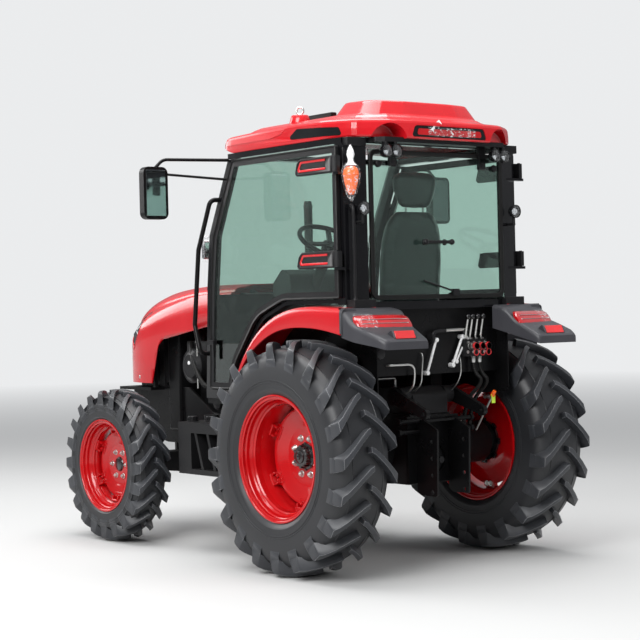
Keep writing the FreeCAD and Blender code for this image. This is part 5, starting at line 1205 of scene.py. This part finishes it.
for side, word in ((1, "left"), (-1, "right")):
    rows = []
    for y, pinch in ((0.372, 0.55), (0.378, 0.80), (0.392, 0.96), (0.44, 1.0), (0.52, 1.0), (0.60, 1.0), (0.645, 0.97), (0.666, 0.82), (0.6745, 0.50)):
        skew = 0.060 * (y - 0.366) / 0.308
        middle = Vector((-0.530, 1.289))
        row = []
        for x, z in ((-0.496, 1.3295), (-0.507, 1.3290), (-0.522, 1.3235), (-0.540, 1.3085), (-0.556, 1.2900), (-0.568, 1.2700), (-0.5735, 1.2560),
                     (-0.571, 1.2495), (-0.560, 1.2470), (-0.535, 1.262), (-0.505, 1.300)):
            spot = middle + (Vector((x, z)) - middle) * pinch
            row.append(at(spot.x + skew, side * y, spot.y))
        rows.append(row + row[:1])
    lens = laid("tail_lens_" + word, rows, round_rows=True, smooth=35)
    fit(lens, lamp_red, "chassis", "lamp_red", *(("tail_lamps",) if side > 0 else ()))
    bars = []
    for drop, reach in ((0.0, 0.004), (0.55, 0.003)):
        line = []
        for y in (0.395, 0.44, 0.50, 0.56, 0.62, 0.655):
            skew = 0.060 * (y - 0.366) / 0.308
            line.append(at(-0.5435 - 0.026 * drop + skew - reach * 0.2, side * y, 1.3075 - 0.036 * drop + reach * 0.2))
        bars.append(tube_along("lens_line", line, (0.0016,), around=8))
    fit(join(bars, "tail_bars_" + word), chrome, "chassis", "zinc_steel")
    pad = prism("reflector_pad_" + word, "xz", side * 0.448, side * 0.592, rounded([
        (-0.6150, 1.236), (-0.6400, 1.2545, 0.004), (-0.6560, 1.2500, 0.004), (-0.6735, 1.213, 0.004), (-0.6650, 1.204)]), 0.003)
    fit(pad, slate, "chassis", "grey_plastic")
    mark = prism("reflector_" + word, "xz", side * 0.4565, side * 0.5835, [(-0.6572, 1.2505), (-0.6755, 1.2125), (-0.6725, 1.2110), (-0.6542, 1.2490)], 0.001)
    fit(mark, reflector_red, "chassis", "lamp_red")
    sheet_rows = []
    for i in range(11):
        y = 0.570 + i * 0.0102
        skew = 0.060 * (y - 0.366) / 0.308
        row = []
        for k in range(14):
            t = k / 13
            wave = 0.0022 * sin(i * 1.7 + k * 2.1) + 0.0018 * sin(i * 0.9 - k * 3.3)
            spot = Vector((-0.500, 1.334)).lerp(Vector((-0.577, 1.247)), t) + Vector((-0.74, 0.67)) * (0.012 * sin(pi * t) + 0.003 + abs(wave))
            row.append(at(spot.x + skew, side * y, spot.y))
        sheet_rows.append(row)
    cover = laid("tail_film_" + word, sheet_rows, smooth=60)
    fit(cover, film, "chassis", "lamp_clear")

# Hydraulic valves: a cast block with four sections under the rear window, steel levers with black ball knobs, and red dust caps.
# The couplings are plated; the block keeps its own form.
cap_red = finish("cap_red", (0.50, 0.010, 0.014), 0.35, dust=0.05)
dress("hydraulic_valves", casting_black)
levers = []
knobs = []
for y in (-0.315, -0.275, -0.235, -0.195):
    levers.append(rod("lever", at(-0.318, y, 1.180), at(-0.318, y, 1.216), 0.0058, vertices=16))
    levers.append(block("fork", at(-0.330, y - 0.009, 1.184), at(-0.306, y + 0.009, 1.193), 0.002))
    bpy.ops.object.select_all(action="DESELECT")
    bpy.ops.mesh.primitive_uv_sphere_add(location=at(-0.318, y, 1.228), radius=0.0142, segments=24, ring_count=14)
    bpy.ops.object.transform_apply(location=True)
    bpy.ops.object.shade_smooth()
    knobs.append(bpy.context.object)
    levers.append(nut(at(-0.3455, y, 1.118), 0.017, 0.006, "X", False))
    levers.append(rod("plug", at(-0.3445, y, 1.168), at(-0.3545, y, 1.168), 0.0075, vertices=20, edge=0.001))
fit(join(levers, "valve_levers"), zinc, "chassis", "zinc_steel")
fit(join(knobs, "valve_knobs"), gloss_black, "chassis", "black_plastic")
rings = []
caps = []
for y in (-0.300, -0.255, -0.210):
    rings.append(turned("coupling", [(0.0, -0.054), (0.0125, -0.054), (0.0135, -0.052), (0.0135, -0.044), (0.0175, -0.042), (0.0178, -0.022), (0.0160, -0.020),
                                     (0.0160, -0.010), (0.0178, -0.008), (0.0178, 0.002), (0.0, 0.002)], (0, 0, 0), steps=28, smooth=35))
    rings[-1].data.transform(Matrix.Translation(at(-0.345, y, 1.150)) @ Matrix.Rotation(radians(-90), 4, "Z"))
    caps.append(turned("dust_cap", [(0.0, -0.055), (0.0150, -0.055), (0.0185, -0.052), (0.0190, -0.040), (0.0182, -0.038), (0.0175, -0.046), (0.0, -0.046)],
                       (0, 0, 0), steps=28, smooth=35))
    caps[-1].data.transform(Matrix.Translation(at(-0.345, y, 1.150)) @ Matrix.Rotation(radians(-90), 4, "Z"))
fit(join(rings, "couplings"), zinc, "chassis", "zinc_steel")
fit(join(caps, "dust_caps"), cap_red, "chassis", "wheel_red")

# Hydraulic lines: two ribbed rubber hoses from the valves into the trumpet, and one bent steel pipe to the lift.
# Each hose hangs in a loop between its ends, with a crimped sleeve at its upper end.


def smooth_path(name, points):
    """A NURBS curve through its control points, and the row of points that it runs along."""
    data = bpy.data.curves.new(name, "CURVE")
    data.dimensions = "3D"
    data.resolution_u = 16
    spline = data.splines.new("NURBS")
    spline.points.add(len(points) - 1)
    for point, place in zip(spline.points, points):
        point.co = (*place, 1)
    spline.order_u = 3
    spline.use_endpoint_u = True
    holder = bpy.data.objects.new(name, data)
    bpy.context.scene.collection.objects.link(holder)
    line = bpy.data.meshes.new_from_object(holder)
    path = [vertex.co.copy() for vertex in line.vertices]
    bpy.data.objects.remove(holder)
    return path


for number, y in ((1, -0.300), (2, -0.255)):
    route = [at(-0.318, y, 1.0947), at(-0.318, y, 1.010), at(-0.360, y - 0.040, 0.960), at(-0.230, y - 0.010, 0.850), at(-0.230, y, 0.701)]
    path = smooth_path("hose_%d" % number, route)
    length = sum((b - a).length for a, b in zip(path, path[1:]))
    steps = spaced(path, int(length / 0.0028))
    hose = tube_along("hose_%d" % number, steps, (0.0108, 0.0110, 0.0108, 0.0092))
    hose.data.materials.append(rubber)
    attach(hose, "chassis")
    if number == 1:
        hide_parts("hydraulic_lines")
    ends = [rod("crimp", at(-0.318, y, 1.0947), at(-0.318, y, 1.060), 0.0125, vertices=24, edge=0.002),
            nut(at(-0.318, y, 1.088), 0.024, 0.006, "Z", False)]
    fit(join(ends, "hose_ends_%d" % number), zinc, "chassis", "zinc_steel")
pipe = tube_along("lift_pipe", spaced(smooth_path("lift_pipe", [at(-0.040, 0.060, 0.9361), at(-0.040, 0.060, 0.962), at(-0.040, 0.060, 0.985), at(-0.040, 0.085, 0.985),
                                                              at(-0.040, 0.180, 0.985), at(-0.040, 0.275, 0.985), at(-0.040, 0.300, 0.985), at(-0.040, 0.300, 0.955),
                                                              at(-0.040, 0.300, 0.702)]), 60), (0.008,))
fit(pipe, zinc, "chassis", "zinc_steel")

# Under the tail: a plated trailer socket with its black lid and hinge.
dress("trailer_socket", zinc)
lid = turned("socket_lid", [(0.0, -0.012), (0.021, -0.012), (0.0275, -0.009), (0.0285, -0.002), (0.0280, 0.004), (0.0265, 0.006), (0.0, 0.006)],
             (0, 0, 0), steps=36, smooth=35)
lid.data.transform(Matrix.Translation(at(-0.349, 0.418, 1.130)) @ Matrix.Rotation(radians(-90), 4, "Z"))
lid_hinge = block("lid_hinge", at(-0.3605, 0.404, 1.153), at(-0.330, 0.432, 1.161), 0.002)
fit(join([lid, lid_hinge], "socket_lid"), plastic, "chassis", "black_plastic")

# Engine side: the bay shows the engine's left face with its pump and pipes; black rails, a fan cowl and a battery box
# close the view through the bay, partly the far side's parts and partly painted shade.
# Castings are black, pipes and fittings plated, hoses rubber.
dress("engine", casting_black)
dress("radiator", finish("radiator_core", (0.010, 0.010, 0.011), 0.45, dust=0.05, grain_size=1500, grain_depth=0.4, specular=0.2))
dress("air_cleaner", plastic)
dress("step_tanks", plastic)
exhaust_black = finish("exhaust_black", (0.010, 0.010, 0.010), 0.55, dust=0.05, unevenness=0.2)
dress("exhaust", exhaust_black)
bits = []
# Rails and blocks are plain black fillers across the gaps of the front frame: partly frame and parts, partly painted
# shade where the far side lies in shadow.
for side in (1, -1):
    bits.append(prism("rail_and_shade_filler", "xz", side * 0.215, side * 0.235, rounded([
        (1.20, 0.560), (1.20, 0.720, 0.02), (1.44, 0.760, 0.04), (1.70, 0.905, 0.03), (2.34, 0.905, 0.02), (2.34, 0.620, 0.04), (1.95, 0.560, 0.05)]), 0.003))
bits.append(block("cowl_and_shade_block", at(1.765, -0.255, 0.640), at(1.899, 0.255, 1.240), 0.012))
bits.append(block("battery_and_shade_block", at(2.075, -0.205, 0.640), at(2.300, 0.205, 1.120), 0.010))
fit(join(bits, "rails_and_shade_fillers"), frame_black, "chassis", "black_paint")
parts = []
for x, z, radius, depth in ((1.12, 0.700, 0.040, 0.090), (1.22, 0.700, 0.046, 0.110), (1.34, 1.060, 0.050, 0.060), (1.34, 0.820, 0.038, 0.070)):
    parts.append(rod("unit", at(x, 0.230, z), at(x, 0.230 + depth * 0.7, z), radius, vertices=32, edge=0.004))
for k in range(4):
    parts.append(block("cover", at(1.10 + k * 0.150, 0.236, 1.120), at(1.225 + k * 0.150, 0.262, 1.190), 0.008))
parts.append(block("pump", at(1.16, 0.236, 0.880), at(1.40, 0.300, 1.000), 0.010))
fit(join(parts, "engine_units"), casting_black, "chassis", "dark_casting")
fittings = []
for k in range(4):
    x = 1.185 + k * 0.055
    fittings.append(nut(at(x, 0.270, 1.000), 0.016, 0.014, "Z", False))
    fittings.append(tube_along("pipe", spaced(smooth_path("pipe", [at(x, 0.270, 1.005), at(x, 0.270, 1.040), at(x, 0.285, 1.075), at(x + 0.030, 0.285, 1.120),
                                                                   at(x + 0.040, 0.262, 1.160)]), 16), (0.0035,), around=8))
for x, y, z in ((1.13, 0.245, 0.76), (1.26, 0.245, 0.79), (1.44, 0.245, 0.93), (1.02, 0.245, 0.95), (1.05, 0.245, 0.83)):
    fittings.append(nut(at(x, y, z), 0.022, 0.012, "Y"))
fittings.append(rod("post", at(1.500, 0.300, 0.906), at(1.500, 0.300, 1.180), 0.006, vertices=14))
fittings.append(nut(at(1.500, 0.300, 1.180), 0.020, 0.012, "Z"))
fit(join(fittings, "engine_fittings"), zinc, "chassis", "zinc_steel")
for number, route in ((1, ((1.30, 0.262, 0.860), (1.22, 0.320, 0.850), (1.14, 0.335, 0.842), (1.05, 0.320, 0.860), (1.00, 0.262, 0.930), (1.00, 0.250, 1.020))),
                      (2, ((1.62, 0.262, 1.180), (1.56, 0.310, 1.120), (1.46, 0.318, 0.960), (1.36, 0.310, 0.900), (1.28, 0.262, 0.920)))):
    path = spaced(smooth_path("side_hose_%d" % number, [at(*place) for place in route]), 60)
    hose = tube_along("side_hose_%d" % number, path, ((0.026, 0.026) if number == 1 else (0.013, 0.0145)))
    fit(hose, rubber, "chassis", "hose_rubber")
    length = sum((b - a).length for a, b in zip(path, path[1:]))

# Small parts round the cab: black corner fillers and mirror glasses.
# All are flat on their neighbour; the fillers close the corners between the rear window frame and the fender.
fillers = []
lines = []
for side in (1, -1):
    fillers.append(block("lower_filler", at(-0.3750, side * 0.455, 1.362), at(-0.300, side * 0.592, 1.408), 0.003))
    fillers.append(block("upper_filler", at(-0.3430, side * 0.470, 2.186), at(-0.300, side * 0.592, 2.2285), 0.003))
fit(join(fillers, "corner_fillers"), plastic, "chassis", "black_plastic")
mirror_glass = finish("mirror_glass", (0.55, 0.60, 0.62), 0.03, metallic=1.0, dust=0.02, grain_depth=0.0)
for side, word in ((1, "left"), (-1, "right")):
    low, high = sorted((side * 0.966, side * 1.088))
    fit(block("mirror_glass_" + word, at(0.7685, low, 1.888), at(0.7705, high, 2.135), 0.0015), mirror_glass, "chassis", "lamp_clear")

# Valve station: long steel levers with ball knobs over the block, bent pipes and rods under it, and the tagged lever end.
# The pipes are plated; the rods are the white and silver links that hang before the gearbox.
levers = []
knobs = []
for y in (-0.300, -0.262, -0.224, -0.192):
    levers.append(rod("long_lever", at(-0.330, y, 1.205), at(-0.352, y, 1.296), 0.0055, vertices=16))
    bpy.ops.object.select_all(action="DESELECT")
    bpy.ops.mesh.primitive_uv_sphere_add(location=at(-0.354, y, 1.306), radius=0.0150, segments=24, ring_count=14)
    bpy.ops.object.transform_apply(location=True)
    bpy.ops.object.shade_smooth()
    knobs.append(bpy.context.object)
fit(join(levers, "long_levers"), zinc, "chassis", "zinc_steel")
fit(join(knobs, "long_lever_knobs"), gloss_black, "chassis", "black_plastic")
pipes = []
for name, radius, places in (
        ("tail_pipe", 0.0060, ((-0.2900, 0.330, 1.066), (-0.3200, 0.330, 1.066), (-0.3210, 0.260, 1.066), (-0.3200, 0.165, 1.066), (-0.3200, 0.162, 1.000),
                               (-0.3000, 0.161, 0.935), (-0.2250, 0.160, 0.905))),
        ("tail_pipe", 0.0040, ((-0.2900, 0.093, 1.123), (-0.3120, 0.093, 1.121), (-0.3120, 0.104, 1.040), (-0.3050, 0.105, 0.940), (-0.2250, 0.105, 0.915))),
        ("tail_pipe", 0.0035, ((-0.2900, -0.172, 1.100), (-0.3140, -0.172, 1.100), (-0.3140, -0.167, 0.960), (-0.2250, -0.165, 0.905))),
        ("valve_elbow", 0.0090, ((-0.3180, -0.205, 1.184), (-0.3200, -0.205, 1.236), (-0.3200, -0.180, 1.239), (-0.3200, -0.120, 1.238), (-0.3200, -0.059, 1.236)))):
    line = spaced(smooth_path(name, [at(*place) for place in places]), 50)
    pipes.append(tube_along(name, line, (radius,), around=14))
fit(join(pipes, "tail_pipes"), zinc, "chassis", "zinc_steel")
line = spaced(smooth_path("valve_pipe", [at(-0.3200, -0.059, 1.236), at(-0.3200, 0.000, 1.234), at(-0.3210, 0.030, 1.226), at(-0.3180, 0.024, 1.180), at(-0.2900, 0.020, 1.172)]), 40)
fit(tube_along("valve_pipe", line, (0.0100,), around=16), plastic, "chassis", "black_plastic")
bars = []
for (y0, z0), (y1, z1), radius in (((0.002, 1.188), (0.070, 1.017), 0.0070), ((-0.184, 1.200), (-0.111, 1.052), 0.0070), ((-0.214, 1.190), (-0.136, 1.070), 0.0060)):
    bars.append(rod("link_bar", at(-0.314, y0, z0), at(-0.314, y1, z1), radius, vertices=16))
    for y, z in ((y0, z0), (y1, z1)):
        bars.append(rod("bar_eye", at(-0.2895, y, z), at(-0.323, y, z), radius + 0.005, vertices=20, edge=0.001))
bar_white = finish("bar_white", (0.62, 0.62, 0.62), 0.30, dust=0.03)
fit(join(bars, "link_bars"), bar_white, "chassis", "zinc_steel")
rings = []
for y in (-0.300, -0.255, -0.210):
    bpy.ops.object.select_all(action="DESELECT")
    bpy.ops.mesh.primitive_torus_add(location=at(-0.394, y, 1.117), rotation=(radians(90), 0, radians(90)), major_radius=0.0165, minor_radius=0.0024,
                                     major_segments=28, minor_segments=8)
    bpy.ops.object.transform_apply(location=True, rotation=True)
    bpy.ops.object.shade_smooth()
    rings.append(bpy.context.object)
fit(join(rings, "cap_loops"), cap_red, "chassis", "wheel_red")
tag_stem = rod("tag_stem", at(-0.215, -0.362, 0.690), at(-0.352, -0.362, 0.884), 0.0060, vertices=16)
fit(tag_stem, zinc, "chassis", "zinc_steel")
fit(rod("tag_tip", at(-0.346, -0.362, 0.876), at(-0.366, -0.362, 0.904), 0.0125, 0.0105, vertices=20, edge=0.002), amber, "chassis", "beacon_orange")
tag_look = finish("tag_green", (0.45, 0.62, 0.05), 0.5, dust=0.0)
fit(block("tag", at(-0.3560, -0.3755, 0.838), at(-0.3545, -0.3485, 0.886), 0.0005), tag_look, "chassis", "lamp_clear")

# Stop lamp film: a crumpled clear wrap over the lens with a white flap that rises at its left end.
# It follows the lens in the tail of the roof, a few millimetres off it.
rows = []
for i in range(34):
    y = 0.150 - i * 0.0100
    row = []
    for k in range(8):
        t = k / 7
        wave = 0.0016 * sin(i * 1.9 + k * 2.3) + 0.0012 * sin(i * 0.7 - k * 3.1)
        row.append(at(-0.4590 + wave, y, roof_low + 0.056 - 0.046 * t))
    rows.append(row)
fit(laid("stop_film", rows, smooth=60), film, "chassis", "lamp_clear")
rows = []
for i in range(12):
    t = i / 11
    row = []
    for k in range(7):
        s = k / 6
        row.append(at(-0.4560 - 0.004 * sin(3 * s + 4 * t), 0.150 - 0.070 * t - 0.045 * s * (1 - 0.5 * t), roof_low + 0.030 + 0.055 * t + 0.012 * sin(4 * s)))
    rows.append(row)
fit(laid("stop_flap", rows, smooth=60), pale_white_and_painted_highlight, "chassis", "lamp_clear")

# Hood trim: a painted highlight, a pale matte line along the front edge of each head lamp, and a plated latch low on
# each side.
# They ride on the hood.
painted_lamp_highlights = []
latches = []
for side in (1, -1):
    line = [at(x, side * y, z) for x, y, z in ((2.057, 0.2960, 1.335), (2.090, 0.2992, 1.318), (2.120, 0.3002, 1.298), (2.150, 0.2995, 1.280), (2.178, 0.2990, 1.262),
                                               (2.176, 0.3035, 1.250), (2.160, 0.3088, 1.235), (2.140, 0.3141, 1.215), (2.123, 0.3187, 1.198))]
    # Each line is a thin matte white tube: a painted highlight along the lamp's edge.
    painted_lamp_highlights.append(tube_along("lamp_line", line, (0.0024,), around=8))
    low, high = sorted((side * 0.3200, side * 0.3290))
    latches.append(block("latch", at(2.104, low, 0.956), at(2.124, high, 0.976), 0.003))
fit(join(painted_lamp_highlights, "lamp_painted_highlights"), pale_white_and_painted_highlight, "hood", "lamp_clear")
fit(join(latches, "hood_latches"), zinc, "hood", "zinc_steel")

# Step tanks: two ribbed black caps on each, a dark grey front plate, and the pale centre of the air cleaner's lid.
# The caps stand on the top face.
caps = []
plates = []
for side in (1, -1):
    for x, y in ((1.205, 0.540), (1.105, 0.480)):
        cap = turned("tank_cap", [(0.0, -0.002), (0.034, -0.002), (0.034, 0.006), (0.029, 0.008), (0.029, 0.026), (0.026, 0.030), (0.0, 0.030)], (0, 0, 0), steps=40, smooth=35)
        cap.data.transform(Matrix.Translation(at(x, side * y, 0.735)) @ Matrix.Rotation(radians(90), 4, "X"))
        caps.append(cap)
        for k in range(12):
            angle = 2 * pi * k / 12
            spot = at(x + 0.0295 * cos(angle), side * y + 0.0295 * sin(angle), 0.743)
            caps.append(rod("cap_rib", spot, spot + Vector((0, 0, 0.018)), 0.0022, vertices=8))
    low, high = sorted((side * 0.312, side * 0.600))
    plates.append(block("tank_plate", at(1.2490, low, 0.455), at(1.2525, high, 0.722), 0.001))
fit(join(caps, "tank_caps"), plastic, "chassis", "black_plastic")
fit(join(plates, "tank_plates"), slate, "chassis", "grey_plastic")
fit(rod("cleaner_dot", at(1.570, 0.3120, 1.059), at(1.570, 0.3185, 1.059), 0.0120, vertices=24, edge=0.001), pale_white_and_painted_highlight, "chassis", "lamp_clear")
conduit = tube_along("corner_conduit", spaced(smooth_path("corner_conduit", [at(-0.3600, 0.5780, 1.4060), at(-0.3600, 0.5780, 1.6000), at(-0.3600, 0.5780, 1.8400),
                                                                            at(-0.3600, 0.5780, 1.8800), at(-0.3380, 0.5780, 1.8850)]), 40), (0.0090,), around=14)
fit(conduit, plastic, "chassis", "black_plastic")
